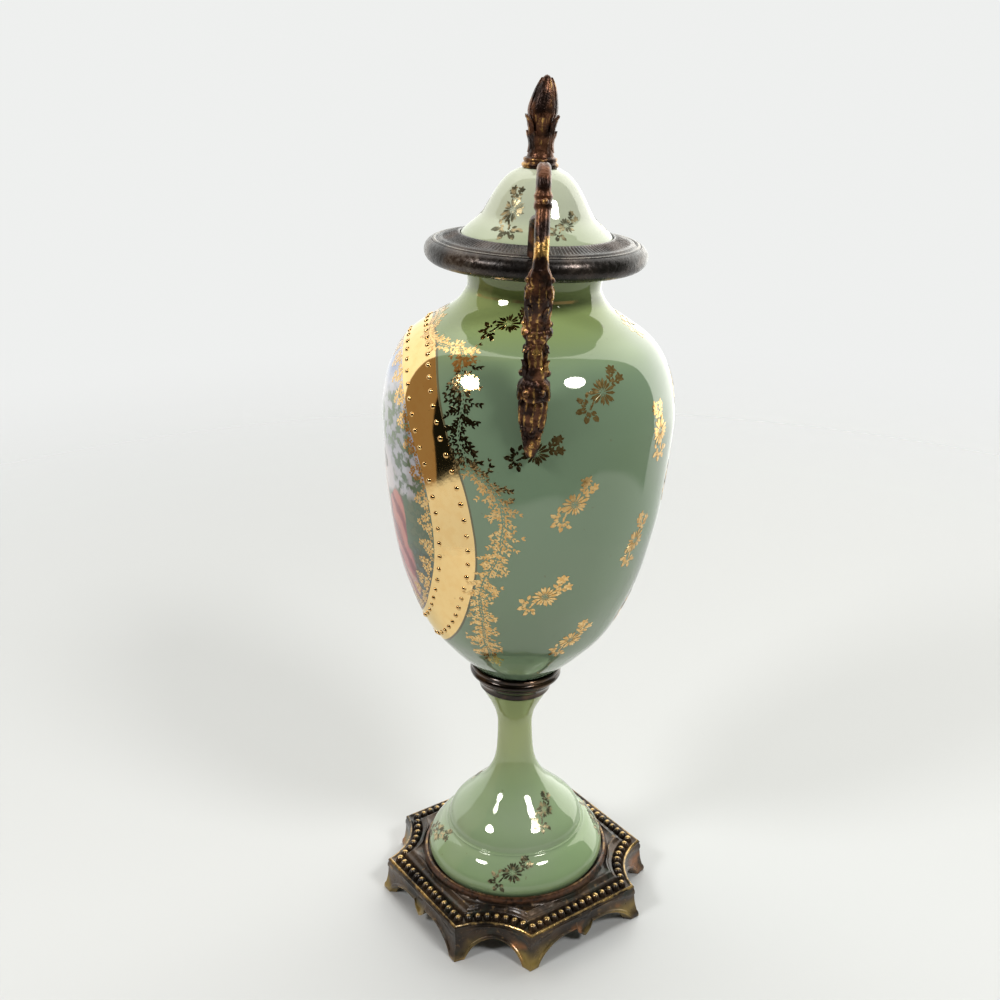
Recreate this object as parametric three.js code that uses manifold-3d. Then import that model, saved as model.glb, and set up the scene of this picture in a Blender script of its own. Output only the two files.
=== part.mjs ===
// A lidded porcelain mantel urn in cast and turned metal mounts.
// Millimetres, +Z up, the origin on the ground under the middle of the base. The painted front faces -Y and
// the handles stand at +X and -X. The urn leans a little at the joint above its foot, and the base is turned
// against the handles, as on the real piece.
import * as THREE from 'three';
import { mergeVertices } from 'three/addons/utils/BufferGeometryUtils.js';
import Module from 'manifold-3d';

const wasm = await Module();
wasm.setup();

// How the pieces meet
const LEAN_DEG = 2.6; // the vase leans back from the camera's left to its right, towards +Y
const BASE_TURN_DEG = 35.3; // the base's square plan against the handles
const SEAT_GAP = 0.3; // between pieces that rest on each other
const FOOT_CLEARANCE = 0.7; // round the foot's flange, inside the lip of the base
const RING_CLEARANCE = 0.35; // round the vase's mouth, inside the ring
const LID_CLEARANCE = 0.6; // round the lid, inside the ring, and round its flange, inside the ledge
const CUP_CLEARANCE = 0.5; // between the vase's bottom and the collar's cup

// Base: half the width across two sides, and half the length of a straight side
const BASE_HALF = 60.2;
const BASE_SIDE_HALF = 34;
const BASE_TOP_IN = 2.1; // how far the top edge lies inside the bottom edge
const BASE_HOLLOW = 5.9; // depth of each hollow corner
const BASE_RIM_Z = 17.1; // height of the sharp top edge
const BASE_WALL = 3.2;
const BASE_DECK = 3.3; // thickness of the top plate
const CHANNEL_IN = 4.9; // from the top edge to the middle of the bead channel
const CHANNEL_Z = 18.2;
const MOULDING_IN = 11.2; // from the top edge to the raised moulding inside the beads
const MOULDING_SIDE_HALF = 24.2;
const MOULDING_HOLLOW = 2.8;
const MOULDING_RISE = 3.4; // above the channel
const BEAD_R = 1.95;
const BEAD_PITCH = 4.25;
const BEAD_RISE = 2.5; // above the channel
const LIP_WALL = 1.6;
const LIP_RISE = 3.4; // above the ledge that the foot stands on
const LIP_SPREAD = 1.2; // how much wider the lip is at its root
const LEDGE_Z = 21.6;
const LEDGE_WIDTH = 11; // from the lip inwards to the open middle
const PAD = 5.2; // length of a foot's flat sole along each side of its corner
const ARCH_HEIGHT = 10.2; // of the lower edge between the feet
const PENDANT_DROP = 6; // of the drop in the middle of a straight side, below the arch
const PENDANT_HALF = 4.8;

// Foot
const FOOT_R = 44.45; // widest
const FOOT_WIDEST = 5.9; // height of the widest place above the foot's sole
const FOOT_STEP_R = 33.6;
const FOOT_STEP = 19.2; // height of the step above the sole
const FOOT_STEM_R = 8.5;
const FOOT_STEM = 72; // height of the stem's narrowest place above the sole
const FOOT_TOP_R = 16.6;
const FOOT_HEIGHT = 95.1;
const FOOT_WALL = 3.3;

// Collar
const COLLAR_HEIGHT = 12.7;
const COLLAR_BOTTOM_R = 17.3;
const COLLAR_RIM = 1.6; // thickness of the cup's rim round the vase
const COLLAR_CUP_DEPTH = 3.3;

// Vase
const BELLY_R = 65.5;
const VASE_SEAT_R = 16.3; // the flat bottom, inside the collar's cup
const VASE_HEIGHT = 205.6;
const BELLY = 127.6; // height of the belly's widest place above the vase's bottom
const NECK_BELOW = 17.7; // from the rim down to the neck's narrowest place
const NECK_R = 29.3;
const MOUTH_R = 31.5;
const VASE_WALL = 3.5;

// Ring on the mouth
const RING_R = 48.1;
const RING_ROLL = 5; // radius of the outer roll
const ROLL_Z = -3.5; // height of the roll's middle against the vase's rim
const RING_BELOW = 7.2; // depth of the ring's bore below the rim
const RING_RIDGE_R = 43.35;
const RING_INNER_R = 32.9;
const RING_RISE = 4.4; // of the flange's inner edge above the vase's rim
const RING_LEDGE = 1.1; // thickness of the ledge over the vase's rim

// Lid
const LID_HEIGHT = 29.7;
const LID_EDGE = 2.6; // height of the upright edge
const LID_TOP_R = 8.4;
const LID_WALL = 3;
const LID_FLANGE = 5.5; // depth of the locating flange below the lid's edge
const LID_FLANGE_WALL = 3;

// Finial
const FINIAL_HEIGHT = 36.8;
const FINIAL_R = 7.8; // its round flange
const FINIAL_NECK_R = 5.3;
const FINIAL_BUD_R = 6.2;
const FINIAL_LEAVES = 6;
const FINIAL_BEND = 1.2; // the tip's place beside the axis

// Handles: how far out and how high a handle reaches, from the vase's axis and from the rim of the vase
const HANDLE_REACH = 81.5;
const HANDLE_ABOVE = 42; // from the rim up to the top of the volute
const HANDLE_BELOW = 73; // from the rim down to the leafy tip
const HANDLE_BAR = 2.75; // half the width of the plain bar
const HANDLE_BAR_DEEP = 3.4; // half its depth, in the plane of the handle
const HANDLE_LEAF = 5.75; // half the width over the leaves
const HANDLE_LEAF_DEEP = 6;
const HANDLE_NUB = 6.7; // half the width over the lower scrolls
const HANDLE_TIP_DEEP = 3;
const VOLUTE_R = 9.8; // of the top scroll's outer turn
const VOLUTE_EYE_R = 3.4; // of its end round the eye
const SCROLL_BAR = 2.2; // half the width of the inner scroll
const SCROLL_SHIFT = -2.4; // the inner scroll stands a little to one side of the bar

const ROUND = 24; // segments round a turned piece

const rad = THREE.MathUtils.degToRad;
const { lerp, smoothstep } = THREE.MathUtils;
const point = (r, z) => new THREE.Vector2(r, z);

// Finishes
const finish = (color, roughness, metalness) =>
  new THREE.MeshStandardMaterial({ color, roughness, metalness });
const celadon = finish(0x9cbf9c, 0.12, 0);
const paleCeladon = finish(0xbfd3c0, 0.12, 0);
const darkBronze = finish(0x3a2f2b, 0.4, 0.9);
const blackBronze = finish(0x241a17, 0.25, 0.9);
const oldGilt = finish(0x6a4a26, 0.35, 0.9);
const brownBrass = finish(0x4f3c22, 0.4, 0.9);

// A smooth line through a few stations, as count + 1 points.
function smooth(stations, count) {
  return new THREE.SplineCurve(stations.map(([r, z]) => point(r, z))).getPoints(count);
}

// The line that lies a wall's thickness to the left of a profile that runs upwards on the outside.
function inset(profile, wall) {
  return profile.map((p, i) => {
    const before = profile[Math.max(i - 1, 0)];
    const after = profile[Math.min(i + 1, profile.length - 1)];
    const along = after.clone().sub(before).normalize();
    return point(p.x - along.y * wall, p.y + along.x * wall);
  });
}

// A solid of revolution about Z. The profile runs up the outside, and starts and ends on the axis or closes.
function turned(profile, segments = ROUND) {
  return new THREE.LatheGeometry(profile, segments).rotateX(Math.PI / 2);
}

// A closed body from rows of points. Each row has the same count of [x, y, z] and runs anticlockwise as seen
// against the direction in which the rows advance. With no caps the last row joins the first.
function rowsToGeometry(rows, capped) {
  const across = rows[0].length;
  const positions = rows.flat(2);
  const faces = [];
  const at = (i, j) => (i % rows.length) * across + (j % across);
  const bands = capped ? rows.length - 1 : rows.length;
  for (let i = 0; i < bands; i++) {
    for (let j = 0; j < across; j++) {
      faces.push(at(i, j), at(i, j + 1), at(i + 1, j));
      faces.push(at(i, j + 1), at(i + 1, j + 1), at(i + 1, j));
    }
  }
  if (capped) {
    for (let j = 1; j < across - 1; j++) {
      faces.push(at(0, 0), at(0, j + 1), at(0, j));
      faces.push(at(rows.length - 1, 0), at(rows.length - 1, j), at(rows.length - 1, j + 1));
    }
  }
  const geometry = new THREE.BufferGeometry();
  geometry.setAttribute('position', new THREE.Float32BufferAttribute(positions, 3));
  geometry.setIndex(faces);
  geometry.computeVertexNormals();
  return geometry;
}

// Geometry to a solid that can be joined, and back.
function toSolid(geometry) {
  const bare = geometry.clone();
  bare.deleteAttribute('normal');
  bare.deleteAttribute('uv');
  const merged = mergeVertices(bare, 1e-3);
  const mesh = new wasm.Mesh({
    numProp: 3,
    vertProperties: new Float32Array(merged.attributes.position.array),
    triVerts: new Uint32Array(merged.index.array),
  });
  return new wasm.Manifold(mesh);
}

function fromSolid(solid) {
  const { vertProperties, triVerts } = solid.getMesh();
  const geometry = new THREE.BufferGeometry();
  geometry.setAttribute('position', new THREE.Float32BufferAttribute(vertProperties, 3));
  geometry.setIndex(Array.from(triVerts));
  geometry.computeVertexNormals();
  return geometry;
}

function piece(name, geometry, material) {
  const mesh = new THREE.Mesh(geometry, material);
  mesh.name = name;
  return mesh;
}

// Base

// A point of the plan: a straight side at +X for station 0 to 1, then a hollow corner for station 1 to 2.
function planPoint(half, sideHalf, hollow, station) {
  if (station <= 1) return [half, lerp(-sideHalf, sideHalf, station)];
  const middle = (half + sideHalf) / 2;
  const chordHalf = (half - sideHalf) / Math.SQRT2;
  const radius = (chordHalf ** 2 + hollow ** 2) / (2 * hollow);
  const swing = Math.asin(chordHalf / radius);
  const turn = lerp(-swing, swing, station - 1);
  const out = radius - hollow - radius * Math.cos(turn);
  const side = radius * Math.sin(turn);
  const place = middle + out / Math.SQRT2;
  return [place - side / Math.SQRT2, place + side / Math.SQRT2];
}

// Height of the lower edge, which arches between the feet and has a pendant drop under each straight side.
function lowerEdge(station) {
  const straight = station <= 1;
  const length = straight ? 2 * BASE_SIDE_HALF : (BASE_HALF - BASE_SIDE_HALF) * Math.SQRT2;
  const along = (straight ? station : station - 1) * length;
  const fromFoot = Math.min(along, length - along) - PAD;
  if (fromFoot <= 0) return 0;
  const reach = straight ? length / 4 : length / 2 - PAD;
  const arch = ARCH_HEIGHT * Math.sin((Math.PI / 2) * Math.min(fromFoot / reach, 1)) ** 0.6;
  if (!straight) return arch;
  const drop = Math.max(1 - Math.abs(along - length / 2) / PENDANT_HALF, 0);
  return arch - PENDANT_DROP * Math.sqrt(drop);
}

function baseStations() {
  const length = 2 * BASE_SIDE_HALF;
  const hollowLength = (BASE_HALF - BASE_SIDE_HALF) * Math.SQRT2;
  const near = [0, PAD, PAD + 2, PAD + 8, length / 2 - PENDANT_HALF * 2, length / 2 - PENDANT_HALF];
  const half = near.map((along) => along / length);
  const side = [...half, 0.5, ...half.map((s) => 1 - s).reverse()];
  const nearHollow = [PAD, PAD + 3].map((along) => 1 + along / hollowLength);
  const hollow = [...nearHollow, 1.5, ...nearHollow.map((s) => 3 - s).reverse()];
  return [...side, ...hollow];
}

const lipInnerR = FOOT_R + FOOT_CLEARANCE;
const lipRootR = lipInnerR + LIP_WALL + LIP_SPREAD;

function baseGeometry() {
  const topHalf = BASE_HALF - BASE_TOP_IN;
  const topSideHalf = BASE_SIDE_HALF - BASE_TOP_IN;
  const channelHalf = topHalf - CHANNEL_IN;
  const mouldingHalf = topHalf - MOULDING_IN;
  const channelSideHalf = lerp(topSideHalf, MOULDING_SIDE_HALF, CHANNEL_IN / MOULDING_IN);
  const channelHollow = lerp(BASE_HOLLOW, MOULDING_HOLLOW, CHANNEL_IN / MOULDING_IN);
  const mouldingZ = CHANNEL_Z + MOULDING_RISE;
  const rows = [];
  for (let quarter = 0; quarter < 4; quarter++) {
    for (const station of baseStations()) {
      const edgeZ = lowerEdge(station);
      const plan = (half, sideHalf, hollow) => planPoint(half, sideHalf, hollow, station);
      const outer = plan(BASE_HALF, BASE_SIDE_HALF, BASE_HOLLOW);
      const angle = Math.atan2(outer[1], outer[0]);
      const round = (r, z) => [r * Math.cos(angle), r * Math.sin(angle), z];
      const moulding = plan(mouldingHalf, MOULDING_SIDE_HALF, MOULDING_HOLLOW);
      const mouldingR = Math.max(Math.hypot(...moulding), lipRootR + 0.4);
      const profile = [
        [...outer, edgeZ],
        [...plan(topHalf, topSideHalf, BASE_HOLLOW), BASE_RIM_Z],
        [...plan(topHalf - 1.4, topSideHalf - 0.9, BASE_HOLLOW), BASE_RIM_Z + 1.3],
        [...plan(channelHalf, channelSideHalf, channelHollow), CHANNEL_Z],
        round(mouldingR, mouldingZ),
        round(lipRootR, mouldingZ - 0.7),
        round(lipInnerR + LIP_WALL, LEDGE_Z + LIP_RISE),
        round(lipInnerR, LEDGE_Z + LIP_RISE),
        round(lipInnerR, LEDGE_Z),
        round(lipInnerR - LEDGE_WIDTH, LEDGE_Z),
        round(lipInnerR - LEDGE_WIDTH, LEDGE_Z - BASE_DECK),
        [...plan(channelHalf, channelSideHalf, channelHollow), CHANNEL_Z - BASE_DECK],
        [...plan(BASE_HALF - BASE_WALL, BASE_SIDE_HALF - BASE_WALL, BASE_HOLLOW), edgeZ],
      ];
      const turn = (Math.PI / 2) * quarter;
      const turnedProfile = profile.map(([x, y, z]) => [
        x * Math.cos(turn) - y * Math.sin(turn),
        x * Math.sin(turn) + y * Math.cos(turn),
        z,
      ]);
      rows.push(turnedProfile.reverse());
    }
  }
  let solid = toSolid(rowsToGeometry(rows, false));

  // Beads: low four-sided studs along the channel, spaced evenly on each side and in each hollow
  const bead = new THREE.ConeGeometry(BEAD_R, BEAD_RISE + 1, 4).rotateX(Math.PI / 2);
  const beads = [];
  const sideLength = 2 * channelSideHalf;
  const hollowLength = (channelHalf - channelSideHalf) * Math.SQRT2;
  const onSide = Math.floor(sideLength / BEAD_PITCH) + 1;
  const inHollow = Math.floor(hollowLength / BEAD_PITCH);
  for (let i = 0; i < onSide; i++) beads.push(0.5 + ((i - (onSide - 1) / 2) * BEAD_PITCH) / sideLength);
  for (let i = 1; i < inHollow; i++) beads.push(1 + i / inHollow);
  for (let quarter = 0; quarter < 4; quarter++) {
    for (const station of beads) {
      const [x, y] = planPoint(channelHalf, channelSideHalf, channelHollow, station);
      const stud = bead.clone().translate(x, y, CHANNEL_Z + (BEAD_RISE - 1) / 2);
      solid = solid.add(toSolid(stud.rotateZ((Math.PI / 2) * quarter)));
    }
  }
  return fromSolid(solid);
}

// Foot

const footZ = LEDGE_Z + SEAT_GAP;
const lean = rad(LEAN_DEG);

function footGeometry() {
  // From the sole: the flange, the step, the bell and the stem, as shares of the heights and radii above
  const bell = FOOT_STEM - FOOT_STEP;
  const spread = FOOT_STEP_R - FOOT_STEM_R;
  const flare = FOOT_HEIGHT - FOOT_STEM;
  const outer = [
    point(FOOT_R - 1.2, 0),
    point(FOOT_R - 0.3, FOOT_WIDEST * 0.5),
    point(FOOT_R, FOOT_WIDEST),
    point(lerp(FOOT_STEP_R, FOOT_R, 0.88), lerp(FOOT_WIDEST, FOOT_STEP, 0.3)),
    point(lerp(FOOT_STEP_R, FOOT_R, 0.45), lerp(FOOT_WIDEST, FOOT_STEP, 0.74)),
    point(FOOT_STEP_R + 0.9, FOOT_STEP - 0.5),
    point(FOOT_STEP_R, FOOT_STEP + 0.6),
    ...smooth(
      [
        [FOOT_STEP_R - 0.3, FOOT_STEP + bell * 0.07],
        [FOOT_STEM_R + spread * 0.87, FOOT_STEP + bell * 0.16],
        [FOOT_STEM_R + spread * 0.54, FOOT_STEP + bell * 0.31],
        [FOOT_STEM_R + spread * 0.25, FOOT_STEP + bell * 0.46],
        [FOOT_STEM_R + spread * 0.055, FOOT_STEP + bell * 0.67],
        [FOOT_STEM_R, FOOT_STEM],
        [lerp(FOOT_STEM_R, FOOT_TOP_R, 0.1), FOOT_STEM + flare * 0.35],
        [lerp(FOOT_STEM_R, FOOT_TOP_R, 0.4), FOOT_STEM + flare * 0.62],
        [FOOT_TOP_R, FOOT_HEIGHT],
      ],
      10,
    ),
  ];
  const inner = inset(outer, FOOT_WALL);
  inner[0].y = 0;
  inner.at(-1).set(FOOT_TOP_R - FOOT_WALL, FOOT_HEIGHT);
  const geometry = turned([...outer, ...inner.filter((p, i) => i % 2 === 0).reverse(), outer[0]]);

  // The upper end is cut askew, which is where the vase gets its lean
  const positions = geometry.attributes.position;
  for (let i = 0; i < positions.count; i++) {
    const z = positions.getZ(i);
    const share = smoothstep(z, FOOT_STEM, FOOT_HEIGHT);
    positions.setZ(i, z - positions.getY(i) * Math.tan(lean) * share);
  }
  return geometry;
}

// Everything above the foot is built from the foot's top, on one leaning axis
const footTopZ = footZ + FOOT_HEIGHT;
const collarZ = SEAT_GAP;
const vaseZ = collarZ + COLLAR_HEIGHT - COLLAR_CUP_DEPTH + SEAT_GAP;
const rimZ = vaseZ + VASE_HEIGHT;
const ledgeZ = rimZ + SEAT_GAP;
const lidZ = ledgeZ + RING_LEDGE + SEAT_GAP;
const finialZ = lidZ + LID_HEIGHT + SEAT_GAP;

// Vase

const mouthInnerR = MOUTH_R - VASE_WALL;
const mouthBand = LID_FLANGE; // straight stretch of the mouth, which the lid's flange enters
const neckHeight = VASE_HEIGHT - NECK_BELOW;

function vaseOutline(count) {
  const below = BELLY_R - VASE_SEAT_R;
  const above = BELLY_R - NECK_R;
  const shoulder = neckHeight - BELLY;
  const lower = [
    [0, 0],
    [0.079, 0.026],
    [0.21, 0.0705],
    [0.386, 0.141],
    [0.563, 0.227],
    [0.7, 0.337],
    [0.815, 0.4624],
    [0.896, 0.6035],
    [0.953, 0.7445],
  ];
  const upper = [
    [1, 0],
    [0.985, 0.2],
    [0.93, 0.367],
    [0.82, 0.517],
    [0.66, 0.64],
    [0.41, 0.745],
    [0.15, 0.85],
    [0.025, 0.95],
    [0, 1.03],
  ];
  return smooth(
    [
      ...lower.map(([out, up]) => [VASE_SEAT_R + below * out, BELLY * up]),
      ...upper.map(([out, up]) => [NECK_R + above * out, BELLY + shoulder * up]),
      [MOUTH_R, VASE_HEIGHT - mouthBand],
      [MOUTH_R, VASE_HEIGHT],
    ],
    count,
  );
}

function vaseGeometry() {
  const outer = vaseOutline(20);
  const inner = inset(vaseOutline(12), VASE_WALL);
  const cavity = [
    ...inner.filter((p) => p.y > VASE_WALL + 0.5 && p.y < neckHeight),
    point(mouthInnerR, VASE_HEIGHT - mouthBand),
    point(mouthInnerR, VASE_HEIGHT),
  ];
  return turned([point(0, 0), ...outer, ...cavity.reverse(), point(0, VASE_WALL)]);
}

// Collar

// The vase's outer radius at a height above its bottom.
function vaseR(height) {
  const outline = vaseOutline(200);
  const i = outline.findIndex((p) => p.y >= height);
  if (i < 1) return MOUTH_R;
  const [below, above] = [outline[i - 1], outline[i]];
  return lerp(below.x, above.x, (height - below.y) / (above.y - below.y));
}

function collarGeometry() {
  const floor = COLLAR_HEIGHT - COLLAR_CUP_DEPTH;
  const rimInnerR = vaseR(COLLAR_CUP_DEPTH) + CUP_CLEARANCE;
  const rimR = rimInnerR + COLLAR_RIM;
  const outline = [
    [0.18, 0.3],
    [0.5, 0.46],
    [0.55, 0.54],
    [0.85, 0.6],
    [1, 0.76],
  ];
  const profile = [
    point(0, 0),
    point(COLLAR_BOTTOM_R - 0.5, 0),
    point(COLLAR_BOTTOM_R, 0.8),
    ...outline.map(([out, up]) => point(lerp(COLLAR_BOTTOM_R, rimR, out), COLLAR_HEIGHT * up)),
    point(rimR - 0.3, COLLAR_HEIGHT),
    point(rimInnerR, COLLAR_HEIGHT),
    point(VASE_SEAT_R + CUP_CLEARANCE, floor),
    point(0, floor),
  ];
  return turned(profile);
}

// Ring on the mouth

function ringGeometry() {
  const boreR = MOUTH_R + RING_CLEARANCE;
  const rollR = RING_R - RING_ROLL;
  const roll = [];
  for (let i = 0; i <= 6; i++) {
    const turn = rad(lerp(-100, 62, i / 6));
    roll.push(point(rollR + RING_ROLL * Math.cos(turn), ROLL_Z + RING_ROLL * Math.sin(turn)));
  }
  const profile = [
    point(boreR, -RING_BELOW),
    ...roll,
    point(RING_RIDGE_R, 1.3),
    point(RING_RIDGE_R - 1.2, 1.2),
    point(RING_INNER_R, RING_RISE),
    point(RING_INNER_R, SEAT_GAP + RING_LEDGE),
    point(mouthInnerR, SEAT_GAP + RING_LEDGE),
    point(mouthInnerR, SEAT_GAP),
    point(boreR, SEAT_GAP),
    point(boreR, -RING_BELOW),
  ];
  return turned(profile);
}

// Lid

const lidR = RING_INNER_R - LID_CLEARANCE;

function lidGeometry() {
  const bell = LID_HEIGHT - LID_EDGE;
  const spread = lidR - LID_TOP_R;
  const shares = [
    [1, 0],
    [0.86, 0.12],
    [0.66, 0.28],
    [0.55, 0.44],
    [0.44, 0.62],
    [0.3, 0.8],
    [0.16, 0.92],
    [0, 1],
  ];
  const outer = smooth(shares.map(([out, up]) => [LID_TOP_R + spread * out, LID_EDGE + bell * up]), 10);
  const under = inset(outer, LID_WALL).filter((p, i) => i > 1 && i % 2 === 0 && p.x > 2);
  const flangeR = mouthInnerR - LID_CLEARANCE;
  const flangeInnerR = flangeR - LID_FLANGE_WALL;
  const profile = [
    point(flangeInnerR, -LID_FLANGE),
    point(flangeR, -LID_FLANGE),
    point(flangeR, 0),
    point(lidR, 0),
    ...outer,
    point(0, LID_HEIGHT),
    point(0, LID_HEIGHT - LID_WALL),
    ...under.filter((p) => p.x < flangeInnerR).reverse(),
    point(flangeInnerR, 0),
    point(flangeInnerR, -LID_FLANGE),
  ];
  return turned(profile);
}

// Finial

function finialGeometry() {
  const neck = FINIAL_HEIGHT * 0.29;
  const bud = FINIAL_HEIGHT - neck;
  const profile = [
    point(0, 0),
    point(FINIAL_R, 0),
    point(FINIAL_R - 0.3, 1.8),
    point(FINIAL_BUD_R, 3.2),
    point(FINIAL_BUD_R, 4.6),
    point(FINIAL_NECK_R + 0.3, 6.5),
    point(FINIAL_NECK_R, neck),
    point(FINIAL_BUD_R, neck + bud * 0.12),
    point(FINIAL_BUD_R, neck + bud * 0.24),
    point(FINIAL_BUD_R + 0.4, neck + bud * 0.31),
    point(FINIAL_NECK_R + 0.4, neck + bud * 0.4),
    point(FINIAL_NECK_R, neck + bud * 0.6),
    point(FINIAL_NECK_R * 0.7, neck + bud * 0.8),
    point(FINIAL_NECK_R * 0.33, neck + bud * 0.96),
    point(0, FINIAL_HEIGHT),
  ];
  const geometry = turned(profile, FINIAL_LEAVES * 3);
  const positions = geometry.attributes.position;
  for (let i = 0; i < positions.count; i++) {
    const [x, y, z] = [positions.getX(i), positions.getY(i), positions.getZ(i)];
    const share = z / FINIAL_HEIGHT;
    const leafy = smoothstep(share, 0.27, 0.36) * (1 - smoothstep(share, 0.5, 0.6));
    const lobe = 1 - 0.13 * leafy * (1 - Math.cos(FINIAL_LEAVES * Math.atan2(y, x)));
    positions.setX(i, x * lobe);
    positions.setY(i, y * lobe + FINIAL_BEND * smoothstep(share, 0.55, 1));
  }
  return geometry;
}

// Handles

// A bar along a curve in the upright plane of a handle. It takes width and depth from a function of the share
// of its length, and each section is an eight-sided loop.
function bar(curve, steps, size, shift) {
  const rows = [];
  for (let i = 0; i <= steps; i++) {
    const share = i / steps;
    const middle = curve.getPointAt(share);
    const along = curve.getTangentAt(share);
    const { wide, deep } = size(share);
    const row = [];
    for (let j = 0; j < 8; j++) {
      const turn = (Math.PI / 4) * j;
      const out = deep * Math.cos(turn);
      row.push([middle.x + along.y * out, wide * Math.sin(turn) + shift, middle.y - along.x * out]);
    }
    rows.push(row);
  }
  return rowsToGeometry(rows, true);
}

// Width and depth at a share, drawn straight between neighbouring stations.
function between(stations, share) {
  const next = Math.max(stations.findIndex((s) => s.at >= share), 1);
  const [a, b] = [stations[next - 1], stations[next]];
  const t = (share - a.at) / (b.at - a.at);
  return { wide: lerp(a.wide, b.wide, t), deep: lerp(a.deep, b.deep, t) };
}

// A volute wound inwards and anticlockwise from its outer turn, as points.
function volute(centre, fromDeg, toDeg, count) {
  const points = [];
  for (let i = 0; i <= count; i++) {
    const turn = rad(lerp(fromDeg, toDeg, i / count));
    const r = lerp(VOLUTE_R, VOLUTE_EYE_R, (i / count) ** 1.3);
    points.push(point(centre.x + r * Math.cos(turn), centre.y + r * Math.sin(turn)));
  }
  return points;
}

function handleGeometry() {
  const tipGap = SEAT_GAP + 0.2;
  const up = (height) => rimZ + height;
  const onVase = (height) => vaseR(rimZ - vaseZ + height) + tipGap + HANDLE_TIP_DEEP;
  const reach = HANDLE_REACH - HANDLE_BAR_DEEP - RING_R;
  const out = (share) => RING_R + reach * share;
  const centre = point(out(0.4), up(HANDLE_ABOVE - VOLUTE_R - HANDLE_BAR_DEEP));
  const stem = new THREE.SplineCurve([
    point(onVase(-HANDLE_BELOW), up(-HANDLE_BELOW)),
    point(onVase(-HANDLE_BELOW * 0.86) + 0.8, up(-HANDLE_BELOW * 0.86)),
    point(out(0.74), up(-HANDLE_BELOW * 0.68)),
    point(out(0.77), up(-HANDLE_BELOW * 0.48)),
    point(out(0.8), up(-HANDLE_BELOW * 0.28)),
    point(out(0.95), up(-HANDLE_BELOW * 0.1)),
    point(out(1), up(HANDLE_ABOVE * 0.15)),
    point(out(0.87), up(HANDLE_ABOVE * 0.42)),
    ...volute(centre, -12, 345, 9),
  ]);
  const sizes = [
    { at: 0, wide: 1.8, deep: 1.2 },
    { at: 0.045, wide: HANDLE_LEAF * 0.9, deep: HANDLE_TIP_DEEP },
    { at: 0.12, wide: HANDLE_LEAF, deep: HANDLE_LEAF_DEEP * 0.7 },
    { at: 0.16, wide: HANDLE_NUB, deep: HANDLE_LEAF_DEEP * 0.85 },
    { at: 0.21, wide: HANDLE_LEAF * 0.8, deep: HANDLE_LEAF_DEEP * 0.65 },
    { at: 0.25, wide: HANDLE_LEAF * 0.95, deep: HANDLE_LEAF_DEEP },
    { at: 0.36, wide: HANDLE_LEAF, deep: HANDLE_LEAF_DEEP * 0.8 },
    { at: 0.42, wide: HANDLE_BAR * 1.2, deep: HANDLE_BAR_DEEP },
    { at: 0.555, wide: HANDLE_BAR, deep: HANDLE_BAR_DEEP },
    { at: 0.58, wide: HANDLE_BAR * 1.3, deep: HANDLE_BAR_DEEP * 1.35 },
    { at: 0.61, wide: HANDLE_BAR, deep: HANDLE_BAR_DEEP },
    { at: 0.94, wide: HANDLE_BAR, deep: HANDLE_BAR_DEEP * 0.7 },
    { at: 0.97, wide: HANDLE_BAR * 1.25, deep: HANDLE_BAR_DEEP * 0.9 },
    { at: 1, wide: HANDLE_BAR, deep: HANDLE_BAR_DEEP * 0.5 },
  ];
  const scroll = new THREE.SplineCurve([
    point(out(0.82), up(HANDLE_ABOVE * 0.5)),
    point(out(0.56), up(HANDLE_ABOVE * 0.46)),
    point(out(0.25), up(HANDLE_ABOVE * 0.37)),
    point(out(0.03), up(HANDLE_ABOVE * 0.2)),
    point(RING_R - RING_ROLL * 0.55, up(ROLL_Z + RING_ROLL + SEAT_GAP + 0.9)),
  ]);
  const stemSolid = toSolid(bar(stem, 25, (share) => between(sizes, share), 0));
  const scrollSolid = toSolid(
    bar(scroll, 6, () => ({ wide: SCROLL_BAR, deep: SCROLL_BAR * 0.9 }), SCROLL_SHIFT),
  );
  return fromSolid(stemSolid.add(scrollSolid));
}

const base = piece('base', baseGeometry(), brownBrass);
base.rotation.z = rad(BASE_TURN_DEG);

const foot = piece('foot', footGeometry(), celadon);
foot.position.z = footZ;

const collar = piece('collar', collarGeometry(), blackBronze);
collar.position.z = collarZ;

const body = piece('body', vaseGeometry(), celadon);
body.position.z = vaseZ;

const rimRing = piece('rim_ring', ringGeometry(), darkBronze);
rimRing.position.z = rimZ;

const lid = piece('lid', lidGeometry(), paleCeladon);
lid.position.z = lidZ;

const finial = piece('finial', finialGeometry(), oldGilt);
finial.position.z = finialZ;

const handleRight = piece('handle_right', handleGeometry(), oldGilt);
const handleLeft = piece('handle_left', handleGeometry(), oldGilt);
handleLeft.rotation.z = Math.PI;

const leaning = new THREE.Group();
leaning.position.z = footTopZ;
leaning.rotation.x = -lean;
leaning.add(collar, body, rimRing, lid, finial, handleRight, handleLeft);

const urn = new THREE.Group();
urn.add(base, foot, leaning);

export default urn;
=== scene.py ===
"""A lidded porcelain mantel urn in cast and turned metal mounts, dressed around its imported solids.

Sizes are millimetres and become metres as a mesh is made. The painted front faces -Y, and the handles stand
at +X and -X. Everything above the foot leans a little towards +Y on one axis, as on the real piece."""
import math

import bmesh
import bpy
import numpy as np
from mathutils import Matrix, Vector


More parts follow.
